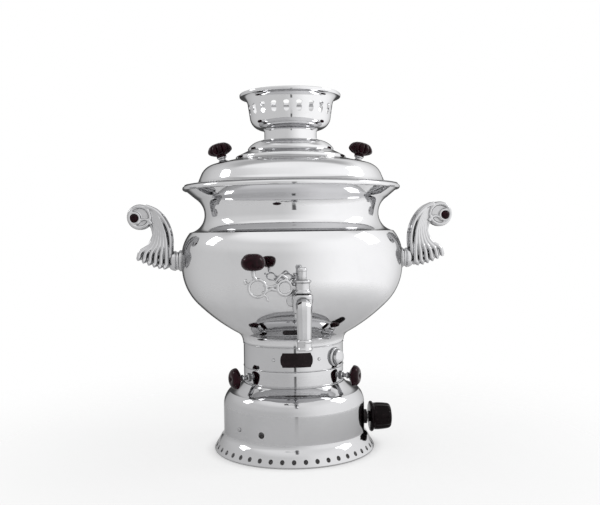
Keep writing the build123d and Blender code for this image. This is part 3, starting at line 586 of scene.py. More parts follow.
def pierced_cell(name, foot, brow, count, start, middle, parts, hole, wall):
    """One of count cells of a pierced cone between two corners.

    The cell's middle stands start half cells round from the front. hole(angle) gives how far the opening
    reaches from its own middle, which lies at a share of the cell's height.
    """
    wide, high = parts
    width, height = math.pi * (foot.x + brow.x) / count, brow.y - foot.y
    back = Vector((foot.y - brow.y, brow.x - foot.x)).normalized()
    border = [(-1 + 2 * i / wide, 0) for i in range(wide)]
    border += [(1, j / high) for j in range(high)]
    border += [(1 - 2 * i / wide, 1) for i in range(wide)]
    border += [(-1, 1 - j / high) for j in range(high)]
    bm = bmesh.new()
    rims = []
    for depth in (0, wall):
        loops = []
        for share in (0.0, 0.5, 0.85, 1.0):
            loop = []
            for u, v in border:
                x, y = u * width / 2, (v - middle) * height
                scale = 1 + (hole(math.atan2(y, x)) / math.hypot(x, y) - 1) * share
                p = foot.lerp(brow, middle + y * scale / height) + back * depth
                a = math.radians(FRONT) + (x * scale * 2 / width + start) * math.pi / count
                loop.append(bm.verts.new(polar(p.x, a, p.y)))
            loops.append(loop)
        rims.append(loops[-1])
        for outer, inner in zip(loops, loops[1:]):
            bridge(bm, outer, inner, flip=depth > 0)
    bridge(bm, *rims)
    return made(name, bm)


# ---- finishes -------------------------------------------------------------------------------


def effect(name, inputs):
    """A shader group for a surface: the tree, what it is given, where its results go and the place."""
    tree = bpy.data.node_groups.new(name, "ShaderNodeTree")
    for label, default in inputs:
        socket(tree, label, "NodeSocketFloat", default)
    for label in ("Tone", "Roughness", "Height"):
        socket(tree, label, "NodeSocketFloat", out=True)
    given, result = tree.nodes.new("NodeGroupInput"), tree.nodes.new("NodeGroupOutput")
    return tree, given.outputs, result.inputs, node(tree, "ShaderNodeTexCoord", out="Object")


def noise(tree, vector, scale, detail=2.0, roughness=0.5, distortion=0.0):
    inputs = {"Vector": vector, "Scale": scale, "Detail": detail}
    inputs |= {"Roughness": roughness, "Distortion": distortion}
    return node(tree, "ShaderNodeTexNoise", inputs, "Fac")


def sum_of(tree, *terms):
    """Adds values, each weighted by a number or by another value."""
    total = 0.0
    for value, weight in terms:
        total = node(tree, "ShaderNodeMath", {0: value, 1: weight, 2: total}, operation="MULTIPLY_ADD")
    return total


def spread(tree, value, low, high, to_low=0.0, to_high=1.0):
    """A soft step from one value at low to another at high."""
    inputs = {"Value": value, "From Min": low, "From Max": high, "To Min": to_low, "To Max": to_high}
    return node(tree, "ShaderNodeMapRange", inputs, "Result", interpolation_type="SMOOTHSTEP")


def blend(tree, share, first, second):
    """The first value where the share is 0 and the second where it is 1."""
    return node(tree, "ShaderNodeMix", {"Factor": share, "A": first, "B": second}, "Result")


def length_of(tree, vector):
    return node(tree, "ShaderNodeVectorMath", {0: vector}, "Value", operation="LENGTH")


def any_ray(tree, rays):
    """1 for what is seen straight, in a reflection or through glass."""
    total = rays["Is Camera Ray"]
    for label in ("Is Glossy Ray", "Is Transmission Ray"):
        total = node(tree, "ShaderNodeMath", {0: total, 1: rays[label]}, operation="MAXIMUM")
    return total


@once("Polishing")
def polishing_effect(name):
    """Spinning marks round the axis, a little haze, and the slow waves that hand polishing leaves."""
    inputs = (("Base roughness", 0.05), ("Marks", 1.0), ("Waves", 1.0), ("Haze", 1.0))
    tree, given, result, place = effect(name, inputs)
    x, y, z = split(tree, place)
    flat = node(tree, "ShaderNodeCombineXYZ", {"X": x, "Y": y})
    rings = node(tree, "ShaderNodeCombineXYZ", {"X": length_of(tree, flat), "Z": z})
    marks = noise(tree, rings, 1600.0, 3.0, 0.6)
    haze = spread(tree, noise(tree, place, 22.0, 4.0, 0.6, 0.4), 0.4, 0.75)
    specks = spread(tree, noise(tree, place, 700.0, 2.0, 0.6), 0.68, 0.76)
    waves = noise(tree, place, 13.0, 1.0, 0.4)
    haze = sum_of(tree, (haze, given["Haze"]))
    fine = sum_of(tree, (marks, given["Marks"]))
    slow = sum_of(tree, (waves, given["Waves"]))
    rough = sum_of(tree, (haze, 0.035), (marks, 0.02), (specks, 0.08), (given["Base roughness"], 1.0))
    feed(tree, result["Tone"], sum_of(tree, (haze, -0.05), (specks, -0.05), (1.0, 1.0)))
    feed(tree, result["Roughness"], rough)
    feed(tree, result["Height"], sum_of(tree, (fine, 0.004), (slow, 1.0)))
    return tree


@once("Casting")
def casting_effect(name):
    """Painted shade that darkens and roughens the hollows of a casting, and the skin of its plating."""
    inputs = (("Base roughness", 0.1), ("Grime", 0.6), ("Skin", 1.0))
    tree, given, result, place = effect(name, inputs)
    hollow = node(tree, "ShaderNodeAmbientOcclusion", {"Distance": 5 * MM}, "AO", samples=6)
    # Occlusion in the hollows darkens the colour as painted shade and makes the hollows rougher.
    hollow_shade = sum_of(tree, (spread(tree, hollow, 0.3, 0.95, 1.0, 0.0), given["Grime"]))
    skin = noise(tree, place, 260.0, 3.0, 0.55)
    haze = spread(tree, noise(tree, place, 60.0, 3.0, 0.6), 0.45, 0.75)
    feed(tree, result["Tone"], sum_of(tree, (hollow_shade, -0.8), (haze, -0.06), (1.0, 1.0)))
    feed(tree, result["Roughness"], sum_of(tree, (hollow_shade, 0.25), (haze, 0.05), (given["Base roughness"], 1.0)))
    feed(tree, result["Height"], sum_of(tree, (skin, given["Skin"])))
    return tree


@once("Moulding")
def moulding_effect(name):
    """Clouding in the resin, fine scratches and dulled handling marks of a moulded knob."""
    tree, given, result, place = effect(name, (("Base roughness", 0.15), ("Scratches", 1.0)))
    cloud = spread(tree, noise(tree, place, 90.0, 4.0, 0.6, 1.2), 0.35, 0.7)
    stretched = node(tree, "ShaderNodeMapping", {"Vector": place, "Scale": (1.0, 1.0, 0.12)})
    scratch = spread(tree, noise(tree, stretched, 1500.0, 2.0, 0.7), 0.66, 0.74)
    handled = spread(tree, noise(tree, place, 45.0, 2.0), 0.5, 0.75)
    marks = sum_of(tree, (scratch, given["Scratches"]))
    rough = sum_of(tree, (handled, 0.08), (marks, 0.12), (given["Base roughness"], 1.0))
    feed(tree, result["Tone"], cloud)
    feed(tree, result["Roughness"], rough)
    feed(tree, result["Height"], sum_of(tree, (marks, -0.3), (cloud, 0.2)))
    return tree


def finish(name, effect_tree, settings, colour, dark, light, metallic, bump_mm, specular=0.5, edge=1.0):
    """A material with the tone, roughness and bump of an effect. dark and light scale its colour."""
    material = bpy.data.materials.new(name)
    material.use_nodes = True
    tree = material.node_tree
    work = node(tree, "ShaderNodeGroup", settings, node_tree=effect_tree).node.outputs
    tones = {"Factor": work["Tone"], "A": shade(colour, dark), "B": shade(colour, light)}
    surface = {
        "Base Color": node(tree, "ShaderNodeMix", tones, "Result", data_type="RGBA"),
        "Roughness": work["Roughness"],
        "Normal": node(tree, "ShaderNodeBump", {"Distance": bump_mm * MM, "Height": work["Height"]}),
        "Metallic": metallic,
        "Specular IOR Level": specular,
        "Specular Tint": (edge, edge, edge, 1),
    }
    for label, value in surface.items():
        feed(tree, tree.nodes["Principled BSDF"].inputs[label], value)


def shade(rgb, amount):
    return (*(c * amount for c in rgb), 1)


def make_finishes():
    """Every finish, under the name of its material slot."""
    for plain in list(bpy.data.materials):
        bpy.data.materials.remove(plain)
    look = bpy.context.scene.samovar_finishes
    uneven = sizes().waviness
    sheet = {"Base roughness": 0.035, "Marks": 1.0, "Waves": uneven, "Haze": 1.0}
    inside = {"Base roughness": 0.3, "Marks": 6.0, "Waves": 0.2, "Haze": 3.0}
    turned = {"Base roughness": 0.18, "Marks": 4.0, "Waves": 0.1, "Haze": 2.0}
    # The castings get painted shade in their hollows.
    plating = {"Base roughness": 0.07, "Grime": 1.0, "Skin": 0.5}
    gloss = {"Base roughness": 0.12, "Scratches": 0.6}
    satin = {"Base roughness": 0.32, "Scratches": 0.8}
    polish, cast_skin, mould = polishing_effect(), casting_effect(), moulding_effect()
    finish("polished_steel", polish, sheet, look.steel, 0.2, 1.0, 1.0, 0.15, edge=0.6)
    # The base and the stand: the polished steel painted darker, as painted shade.
    finish("stand_steel", polish, sheet, look.stand_steel, 0.2, 1.0, 1.0, 0.15, edge=0.6)
    finish("inner_steel", polish, inside, look.plain_steel, 0.2, 1.0, 1.0, 0.3)
    finish("chromed_metal", cast_skin, plating, look.chrome, 0.06, 1.0, 1.0, 0.05, edge=0.5)
    finish("brass_parts", polish, turned, look.brass, 0.3, 1.0, 1.0, 0.2)
    finish("copper_pipe", polish, turned, look.copper, 0.3, 1.0, 1.0, 0.2)
    finish("black_plate", mould, satin, look.black, 2.0, 4.0, 0.0, 0.02, 0.12)
    finish("black_plastic", mould, satin, look.black, 1.0, 2.5, 0.0, 0.04, 0.2)
    finish("gas_knob_black", mould, gloss, look.black, 1.0, 2.0, 0.0, 0.03, 0.06)
    finish("ceramic", mould, satin, look.ceramic, 0.85, 1.0, 0.0, 0.05)
    finish("burgundy_knob", mould, gloss, look.burgundy, 0.3, 1.0, 0.0, 0.03, 0.1)


def dress(obj, slot, body, *nodes, material=None):
    """Gives a piece its finish and body, and hides the CAD nodes it stands for."""
    obj.data.materials.clear()
    obj.data.materials.append(bpy.data.materials[material or slot])
    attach(obj, body)
    if nodes:
        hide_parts(*nodes)
    return obj


def fitting(name, corners, radius, segments, place, body, *nodes):
    """A turned and chromed fitting with its corners eased."""
    dress(spun(name, eased(corners, radius), segments=segments, place=place), "chromed_metal", body, *nodes)


def stand_sheet(obj, *nodes):
    """Dresses a piece of the base or the stand in the steel painted darker as painted shade."""
    dress(obj, "polished_steel", "samovar", *nodes, material="stand_steel")


# ---- the base, the stand and the vessel -----------------------------------------------------


class SAMOVAR_OT_base(bpy.types.Operator):
    """The bell-shaped base, with its perforated flare and the round hole in its wall"""

    bl_idname = "samovar.base"
    bl_label = "Base"

    def execute(self, context):
        wall, radius = mm("sheet"), mm("base_radius")
        count = sizes().vent_count
        foot, brow = Vector((95.6, 1.5)), Vector((87.6, 15.5))
        low, high = (foot.lerp(brow, (z - foot.y) / (brow.y - foot.y)) for z in (1.8, 10.8))
        hem = Outline(94.3, 0.0).bend(*foot, parts=6, heading=0).line(*low)
        side = Outline(*high).line(*brow).bend(radius, 20.5, heading=138, parts=5)
        wall_row = len(side.points) - 1
        side.line(radius, 53.0, 13).bend(77.5, 69.3, heading=90, parts=12)
        side.bend(60.5, 79.5, heading=171, parts=10).line(52.0, 79.5, 2)
        columns = 6 * count
        peep = (wall_row + 2, 5, round(PEEP_ANGLE * columns / 360) - 3, 6, 3.7, 0.25)
        lower = spun("flare hem", walled(hem.points, wall), segments=columns, open_ends="high")
        upper = spun("bell", walled(side.points, wall), segments=columns, open_ends="low", holes=[peep])
        vent = mm("vent_size") / 2
        cell = pierced_cell("base_shell", low, high, count, -1, 0.5, (6, 6), lambda _a: vent, wall)
        # The base gets the steel painted darker as painted shade.
        repeated(cell, count, "stand_steel", rest=joined("rest of base", lower, upper))
        stand_sheet(cell, "base_housing")
        return {"FINISHED"}


def beaded(outline, r, z, reach):
    """Carries a wall up to z and over a half-round bead."""
    outline.line(r, z - reach).bend(r, z + reach, parts=8, heading=0)
    outline.heading = math.pi / 2
    return outline


class SAMOVAR_OT_stand(bpy.types.Operator):
    """The ring on the base and the wall round the flame, with their beads"""

    bl_idname = "samovar.stand"
    bl_label = "Stand"

    def execute(self, context):
        r = mm("stand_radius")
        wall = mm("sheet")
        ring = Outline(r - 0.3, 79.5).line(r, 79.8)
        beaded(ring, r, 81.2, 0.7).line(r, 97.4, 4).line(r - 0.3, 97.9)
        stand_sheet(spun("stand_ring_shell", walled(ring.points, wall)), "stand_ring")
        upper = beaded(Outline(r - 0.3, 98.0), r, 98.9, 0.5)
        row = len(upper.points) - 1
        upper.line(r, 123.4, 12)
        beaded(upper, r, 126.0, 0.7).line(r, 131.0)
        vent = (row, 3, -27, 4, 2.5, -0.7)
        behind_igniter = IGNITER_Z - (upper.points[row + 1].y + upper.points[row + 12].y) / 2
        holes = [vent, (row + 1, 11, 21, 11, 9.4, behind_igniter)]
        upper = spun("stand_wall", walled(upper.points, wall), holes=holes)
        spigot = spun("spigot", [(57.3, 81), (58.3, 81), (58.3, 98.6), (57.3, 98.6)])
        stand_sheet(joined("stand_wall", upper, spigot), "stand_cylinder")
        return {"FINISHED"}


class SAMOVAR_OT_vessel(bpy.types.Operator):
    """The water vessel's bowl and its flared neck with a rolled rim"""

    bl_idname = "samovar.vessel"
    bl_label = "Vessel"

    def execute(self, context):
        wall = mm("sheet")
        belly = mm("belly_radius")
        # A fillet at the foot, the flat cone, the round belly and the turn in to the neck.
        bowl = Outline(60.5, 128.5).bend(67.0, 138.8, heading=86, parts=8).bend(*BELLY_FOOT, parts=16)
        bowl.bend(belly, BELLY_Z, heading=44, parts=18).line(belly, 230.0, 3)
        bowl.bend(*NECK_FOOT, parts=14, heading=90)
        bowl = spun("vessel_shell", walled(bowl.points, wall), segments=256)
        dress(bowl, "polished_steel", "samovar", "vessel_bowl")
        neck = Outline(*NECK_FOOT).bend(103.5, 278.5, heading=170, parts=16)
        neck.bend(114.0, 297.3, heading=90, parts=12).line(126.4, 307.7, 5)
        rim = [(x, z) for x, _y, z in loop_points(126.4, 0, 309.0, 2.6, 16)]
        neck = spun("neck_shell", walled(neck.points, wall), rim, segments=256)
        dress(neck, "polished_steel", "samovar", "vessel_neck")
        return {"FINISHED"}


class SAMOVAR_OT_lid(bpy.types.Operator):
    """The stepped lid, with the skirt that centres it in the neck"""

    bl_idname = "samovar.lid"
    bl_label = "Lid"

    def execute(self, context):
        side = Outline(126.6, 312.6).line(126.4, 312.9).line(116.5, 312.9, 2)
        side.bend(109.5, 319.0, heading=170, parts=8).line(107.0, 325.0, 2)
        side.bend(*CONE_FOOT, heading=112, parts=12).line(*CONE_TOP, 4).line(65.8, 345.0)
        side.bend(62.8, 347.6, heading=103, parts=5).line(51.0, 353.5, 3).line(51.0, 356.0)
        side.bend(33.4, 365.0, heading=123, parts=10).line(33.4, 366.6).line(30.2, 366.6)
        skirt = eased([(117, 304.5), (118, 304.5), (118, 312.4), (117, 312.4)], 0.3)
        lid = spun("lid_shell", walled(side.points, mm("sheet")), skirt, segments=256)
        dress(lid, "polished_steel", "lid", "lid_dome")
        return {"FINISHED"}


class SAMOVAR_OT_crown(bpy.types.Operator):
    """The crown that holds a teapot: its neck and cup, the pierced band and the flared rim"""

    bl_idname = "samovar.crown"
    bl_label = "Crown"

    def execute(self, context):
        wall = mm("sheet")
        count = sizes().keyhole_count
        foot, brow = Vector((47.9, 391.0)), Vector((50.5, 408.5))
        cup = Outline(31.2, 366.9).line(31.2, 376.0, 3).bend(35.7, 379.0, heading=63, parts=6)
        cup.bend(*foot, heading=10, parts=12)
        cup = spun("crown_cup", walled(cup.points, wall))
        dress(cup, "polished_steel", "crown", "crown_neck")

        def keyhole(a):
            """A pear below and a flat oval above, seen from the pear's middle."""
            reach = 0.0
            for step in range(140):
                d = step * 0.08
                x, y = math.cos(a) * d, math.sin(a) * d
                pear = math.hypot(x / (3.7 - 0.16 * (y + 3)), (y - 0.6) / 5.2) < 1
                oval = math.hypot(x / 3.5, (y - 6.2) / 1.9) < 1
                if pear or oval:
                    reach = d
            return reach

        band = pierced_cell("crown_gallery_band", foot, brow, count, 1, 0.44, (8, 12), keyhole, wall)
        repeated(band, count, "polished_steel")
        dress(band, "polished_steel", "crown", "crown_gallery")
        flare = Outline(*brow).bend(58.5, 416.5, heading=82, parts=10)
        lip = eased([(56.1, 416.5), (60.1, 416.5), (60.1, 420.5), (56.1, 420.5)], 1.4, 6)
        rim = spun("crown_rim_ring", walled(flare.points, wall), lip)
        dress(rim, "polished_steel", "crown", "crown_rim")
        return {"FINISHED"}


# ---- the handles ----------------------------------------------------------------------------


class SAMOVAR_OT_handles(bpy.types.Operator):
    """The cast scroll handles, each with a leaf of strands, a ferrule and two eyes"""

    bl_idname = "samovar.handles"
    bl_label = "Handles"

    def execute(self, context):
        right = self.make_scroll()
        left = mirrored(right, "scroll_left")
        dress(right, "chromed_metal", "samovar", "handle_right")
        dress(left, "chromed_metal", "samovar", "handle_left")
        profile = [(4, 129.9), (12.5, 129.9), (12.5, 133.5), (10.6, 134.8), (10.6, 137), (11.9, 138.6)]
        profile += [(11.3, 142), (9.6, 145), (4, 145)]
        dome = Outline(4.7, 5.5).line(4.7, 7.6).bend(0.0, 9.4, heading=100, parts=10)
        dome = [*dome.points, Vector((0, 5.5))]
        eyes = []
        for side, word in ((1, "right"), (-1, "left")):
            place = out_from(90 * side, HANDLE_Z)
            fitting(f"ferrule_ring_{word}", profile, 0.5, 96, place, "samovar", f"ferrule_{word}")
            for face in (1, -1):
                outwards = Matrix.Rotation(-face * math.pi / 2, 4, "X")
                place = Matrix.Translation((side * EYE[0], 0, EYE[1])) @ outwards
                eyes.append(spun("eye", dome, segments=48, place=place))
        dress(joined("scroll_eyes", *eyes), "burgundy_knob", "samovar", "handle_eyes")
        return {"FINISHED"}

    def make_scroll(self):
        """The right handle: a column that rises from a leaf and rolls outwards into a volute."""
        bm = bmesh.new()
        column = [
            (157.0, 221.5, -0.1, 1, 9.0, 6.4),
            (154.8, 232.0, -0.12, 1, 11.0, 6.8),
            (153.6, 246.0, 0, 1, 11.5, 6.8),
            (154.4, 259.5, 0.14, 1, 11.5, 6.8),
            (158.5, 270.5, 0.62, 0.78, 11, 6.8),
            (166.5, 278.0, 0.87, 0.5, 10.5, 6.8),
            (176.0, 280.0, 1, 0, 10, 6.8),
            (184.5, 277.0, 0.9, -0.45, 9.0, 6.8),
        ]
        loft(bm, column)
        leaf = [
            (155.0, 258.0, 0.1, -1, 9, 6.4),
            (158.0, 244.5, 0.2, -1, 11.5, 6.8),
            (161.0, 233.5, 0.3, -1, 14.5, 7.2),
            (161.0, 226.5, 0.2, -1, 13.5, 7.2),
            (159.5, 222.5, 0, -1, 9, 6.6),
        ]
        loft(bm, leaf)
        disc = eased([(0, -6.6), (15.0, -6.6), (15.0, 6.6), (0, 6.6)], 2.6)
        place = Matrix.Translation((VOLUTE[0], 0, VOLUTE[1])) @ Matrix.Rotation(math.pi / 2, 4, "X")
        root = [(0, 0), (8, 0), (8, 10), (0, 10)]
        parts = [
            made("scroll_right", bm),
            spun("volute", disc, segments=96, place=place),
            spun("root", root, segments=48, place=out_from(90, HANDLE_Z, 143)),
        ]
        back = [(144.8, 226), (143.2, 240), (143.4, 254), (146.9, 267), (153.8, 278.6), (163.2, 286.8)]
        back.append((172.0, 289.4))
        spiral = [(165, 268.5), (168.5, 273), (174, 274.6), (178.5, 272.4), (181, 268.6)]
        for face in (-1, 1):
            parts += self.strands_of_leaf(face)
            edge = loop_points(VOLUTE[0], face * 6.6, VOLUTE[1], 12.7, 12)
            parts.append(strand("volute edge", edge, 2.2, cyclic=True))
            eye = loop_points(EYE[0], face * 6.8, EYE[1], 6.6, 9)
            parts.append(strand("eye socket", eye, 1.8, cyclic=True))
            parts.append(strand("back band", [(x, face * 7.0, z) for x, z in back], 2.4))
            curl = [(x, face * 7.0, z) for x, z in spiral]
            parts.append(strand("inner curl", curl, [2.2, 1.8, 1.5, 1.3, 1.0]))
        return cast(joined("scroll_right", *parts), 0.55, 2)

    def strands_of_leaf(self, face):
        """Tapering strands that fan out down one face of the leaf and curl up at their tips."""
        count = sizes().strand_count
        proud = (7.2, 7.6, 8.0, 8.8, 10.0, 10.4, 11.5)
        strands = []
        for i in range(count):
            t = i / (count - 1)
            tip = 9.5 * t**1.6
            line = [
                (164 + 9 * t, 285 - 2 * t),
                (155.5 + 9 * t, 274 - 3 * t),
                (150 + 12.5 * t, 258),
                (148.5 + 19 * t, 244),
                (148 + 30 * t, 231.5 + 0.5 * tip),
                (148.5 + 32 * t, 219.5 + tip),
                (152 + 30 * t, 217.4 + 1.1 * tip),
            ]
            path = smooth_path([(x, face * (y - 2 * t), z) for (x, z), y in zip(line, proud)], 4)
            n = len(path) - 1
            strands.append(strand("strand", path, [0.9 + 1.9 * min(1.0, 1.35 * k / n) for k in range(n + 1)]))
        return strands


# ---- the tap --------------------------------------------------------------------------------


class SAMOVAR_OT_tap(bpy.types.Operator):
    """The tap's body and spout, and its flange of petals on the bowl"""

    bl_idname = "samovar.tap"
    bl_label = "Tap"

    def execute(self, context):
        barrel = [(6.2, 177), (9.2, 177), (9.6, 179), (10, 181), (10, 190), (10.5, 191.2)]
        barrel += [(10.5, 194), (9.8, 195), (6.2, 195)]
        inlet = [(0, 116), (7, 116), (7, 130), (9.4, 131), (9.4, 134), (7.6, 136), (6.8, 141)]
        inlet += [(7.4, 146), (9.4, 148), (9.4, 151), (7, 153), (7, 156), (0, 156)]
        tip = [(4.5, 142), (7.3, 142), (7.8, 142.9), (7.8, 144.1), (7, 145.1), (7, 149.5)]
        tip += [(7.7, 150.5), (7.7, 151.9), (7, 152.9), (4.5, 152.9)]
        bend = [(-158, TAP_Z), (-170, TAP_Z), (-178, 184.2), (SPOUT_Y, 174), (SPOUT_Y, 162), (SPOUT_Y, 149)]
        spout = strand("spout", [(0, y, z) for y, z in bend], [7, 7.5, 7.7, 7.5, 7, 6.6], 12)
        parts = [
            spun("barrel", eased(barrel, 0.5), segments=64, place=PLUG_AXIS),
            spun("inlet", eased(inlet, 0.5), segments=64, place=out_from(0, TAP_Z)),
            spout,
            spun("tip", eased(tip, 0.4), segments=64, place=Matrix.Translation((0, SPOUT_Y, 0))),
        ]
        dress(joined("tap_casting", *parts), "chromed_metal", "samovar", "tap_body")
        flange = Outline(14.0, 111.5).line(14.0, 121.6).bend(12.6, 124.0, heading=90, parts=4)
        flange.bend(8.0, 127.0, heading=150, parts=5).line(8.0, 130.0).line(7.0, 130.0).line(7.0, 111.5)
        lobes = lambda r, z: 0.36 * ramp(r, 7.5, 12.5)
        place = out_from(0, TAP_Z)
        flange = petalled("tap_flange", flange.points, 4, lobes, "chromed_metal", place, 14, 3.0)
        self.fit_to_bowl(flange)
        dress(flange, "chromed_metal", "samovar", "tap_rosette")
        return {"FINISHED"}

    def fit_to_bowl(self, flange):
        """Draws the flange's back up to the bowl's outside."""
        belly = mm("belly_radius")
        reach, rise = belly - BELLY_FOOT[0], BELLY_Z - BELLY_FOOT[1]
        turn = (reach**2 + rise**2) / (2 * reach)
        for v in flange.data.vertices:
            x, y, z = v.co / MM
            bowl_r = belly - turn + math.sqrt(turn**2 - (BELLY_Z - z) ** 2)
            bowl_y = -math.sqrt(bowl_r**2 - x * x)
            if y > bowl_y:
                v.co.y = (bowl_y - 0.05) * MM


class SAMOVAR_OT_tap_key(bpy.types.Operator):
    """The tap's plug, its open-work key and the oval knob on it"""

    bl_idname = "samovar.tap_key"
    bl_label = "Tap key"

    def execute(self, context):
        stem = [(0, 171), (6, 171), (6, 195.5), (4.3, 196), (4.3, 218), (4.9, 218.6)]
        stem += [(4.9, 220.4), (3.6, 222), (0, 222)]
        fitting("plug_and_stem", stem, 0.3, 64, PLUG_AXIS, "tap_key", "tap_plug")
        # Each bar of the key is a row of x, z and radius.
        x, middle = KEY_KNOB_X, 201.8
        upper = [(-38.5, 204.9, 1.6), (-34, 203, 1.5), (-29, 203, 1.5), (-24.2, 205.4, 1.7)]
        lower = [(-40, 197, 1.6), (-35.5, 198.8, 1.5), (-30.5, 201, 1.5), (-24, 199, 1.7)]
        brow = [(-27, 207.8, 1.3), (-23.4, 212, 1.6), (-20, 215.4, 1.4), (-17, 212.6, 1.6), (-14, 210, 1.3)]
        stalk = [(-45, 209.6, 1.7), (-47.6, 212.5, 1.9), (x, 215.5, 2.3), (x, 220.5, 2.6)]
        outer_curl = [(-51.5, 204.4, 1.5), (-54, 207, 1.2), (-57.2, 206.4, 1.2), (-57, 209.6, 1.2)]
        outer_curl.append((-54.8, 210.2, 1.5))
        lower_curl = [(-39.2, 196, 1.6), (-37, 194.4, 1.3), (-34.8, 192.4, 1.2), (-35.4, 189.8, 1.4)]
        lower_curl.append((-33.4, 189.4, 1.6))
        link = [(-10.4, middle, 2.0), (-8, middle, 2.6), (-4, middle, 3.4)]
        key = [
            strand("near ring", loop_points(-17.5, PLUG_Y, middle, 7.5, 10), 1.75, cyclic=True),
            strand("far ring", loop_points(-44.5, PLUG_Y, middle, 9.3, 8), 1.6, cyclic=True),
        ]
        for bar in (upper, lower, brow, stalk, outer_curl, lower_curl, link):
            key.append(strand("key bar", [(x, PLUG_Y, z) for x, z, _r in bar], [r for _x, _z, r in bar]))
        hub = [(4.2, 196.2), (8.8, 196.2), (8.8, 198.6), (7.4, 199.6), (7.4, 206.4), (9, 207.4)]
        hub += [(9, 209.3), (4.2, 209.3)]
        key.append(spun("hub", eased(hub, 0.5), segments=48, place=PLUG_AXIS))
        dress(cast(joined("open_work_key", *key), 0.45, 3), "chromed_metal", "tap_key", "tap_key")
        bulb = Outline(3.0, 219.2).line(5.0, 219.4).bend(12.1, 227.0, heading=5, parts=12)
        bulb = [*bulb.bend(0.0, 235.8, heading=90, parts=16).points, Vector((0, 219.2))]
        knob = spun("tap_bulb", bulb, segments=72, place=Matrix.Translation((KEY_KNOB_X, PLUG_Y, 0)))
        dress(knob, "burgundy_knob", "tap_key", "tap_knob")
        return {"FINISHED"}


# ---- knobs and small pieces -----------------------------------------------------------------


class SAMOVAR_OT_lid_knobs(bpy.types.Operator):
    """The petalled knobs of the lid on their turned ferrules"""

    bl_idname = "samovar.lid_knobs"
    bl_label = "Lid knobs"

    def execute(self, context):
        slope = (CONE_TOP[1] - CONE_FOOT[1]) / (CONE_FOOT[0] - CONE_TOP[0])
        foot_z = CONE_TOP[1] - (LID_KNOB_X - CONE_TOP[0]) * slope
        ring = eased([(0, 0), (7, 0), (7, 1), (5, 2.4), (4, 3.4), (4, 5), (5.5, 6), (5.5, 7), (0, 7)], 0.35)
        cap = Outline(0.0, 7.0).line(5.8, 7.0).line(5.8, 9.2).bend(13.2, 12.6, heading=12, parts=8)
        cap.bend(14.5, 15.6, heading=40, parts=6).bend(6.0, 23.6, heading=100, parts=10)
        cap.bend(3.0, 23.2, heading=190, parts=3).bend(0.0, 24.2, heading=120, parts=5)
        petals = lambda r, z: 0.17 * ramp(r, 4, 13) ** 1.5
        ferrules = []
        for side, word in ((-1, "left"), (1, "right")):
            tilt = Vector((side * slope, 0, 1)).normalized()
            turn = Vector((0, 0, 1)).rotation_difference(tilt).to_matrix().to_4x4()
            place = Matrix.Translation((side * LID_KNOB_X, 0, foot_z)) @ turn
            ferrules.append(spun("ferrule", ring, segments=48, place=place))
            count = sizes().petal_count
            knob = petalled(f"lid_petals_{word}", cap.points, count, petals, "burgundy_knob", place, 12, 3.5)
            dress(knob, "burgundy_knob", "lid", f"lid_knob_{word}")
        dress(joined("lid_knob_ferrules", *ferrules), "chromed_metal", "lid", "lid_ferrules")
        return {"FINISHED"}


class SAMOVAR_OT_thumb_screws(bpy.types.Operator):
    """The two thumb screws that clamp the stand, with knurled bosses and bead-shaped grips"""

    bl_idname = "samovar.thumb_screws"
    bl_label = "Thumb screws"

    def execute(self, context):
        boss = eased([(2.4, 58.8), (5, 58.8), (5, 61.8), (4.2, 62.5), (2.4, 62.5)], 0.25)
        stem = [(0, 58.8), (2.3, 58.8), (2.3, 66.5), (3.8, 67.2), (3.8, 69), (2.3, 69.6), (2.3, 75), (0, 75)]
        bead = Outline(0.0, 70.4).line(3.6, 70.4).bend(12.3, 75.6, heading=25, parts=12)
        bead.bend(0.0, 80.8, heading=90, parts=14)
        knurls = lambda r, z: 0.08 if r > 4 else 0.0
        count = sizes().knurl_count
        bosses = []
        for side, word in ((-1, "left"), (1, "right")):
            place = out_from(THUMB_ANGLE * side, THUMB_Z)
            bosses.append(petalled("boss", boss, count, knurls, "chromed_metal", place, 4, 1.0, 60.0))
            fitting(f"thumb_rod_{word}", stem, 0.25, 40, place, f"{word}_screw", f"thumb_stem_{word}")
            grip = spun(f"thumb_bead_{word}", bead.points, segments=72, place=place)
            dress(grip, "burgundy_knob", f"{word}_disc", f"thumb_disc_{word}")
        dress(joined("knurled_bosses", *bosses), "chromed_metal", "samovar", "thumb_bosses")
        return {"FINISHED"}


class SAMOVAR_OT_gas_knob(bpy.types.Operator):
    """The gas knob and its spindle"""

    bl_idname = "samovar.gas_knob"
    bl_label = "Gas knob"

    def execute(self, context):
        place = out_from(90, GAS_Z)
        side = Outline(0.0, 89.5).line(6.5, 89.5).line(6.5, 91.5).line(16.4, 91.5)
        side.bend(18.25, 92.8, heading=10, parts=4).line(18.0, 94.6).bend(16.0, 96.4, heading=150, parts=5)
        side.bend(16.3, 104.0, heading=80, parts=5).bend(15.4, 112.8, heading=92, parts=5)
        side.bend(10.5, 117.2, heading=95, parts=7).line(0.0, 118.0, 3)
        flutes = lambda r, z: 0.05 * ramp(z, 95.6, 98.6) * ramp(r, 9, 14)
        knob = petalled("gas_knob_grip", side.points, 10, flutes, "gas_knob_black", place)
        dress(knob, "burgundy_knob", "gas_knob", "gas_knob", material="gas_knob_black")
        rod = [(0, 63.4), (3, 63.4), (3, 109), (0, 109)]
        fitting("gas_spindle_rod", rod, 0.3, 40, place, "gas_spindle", "valve_spindle")
        return {"FINISHED"}


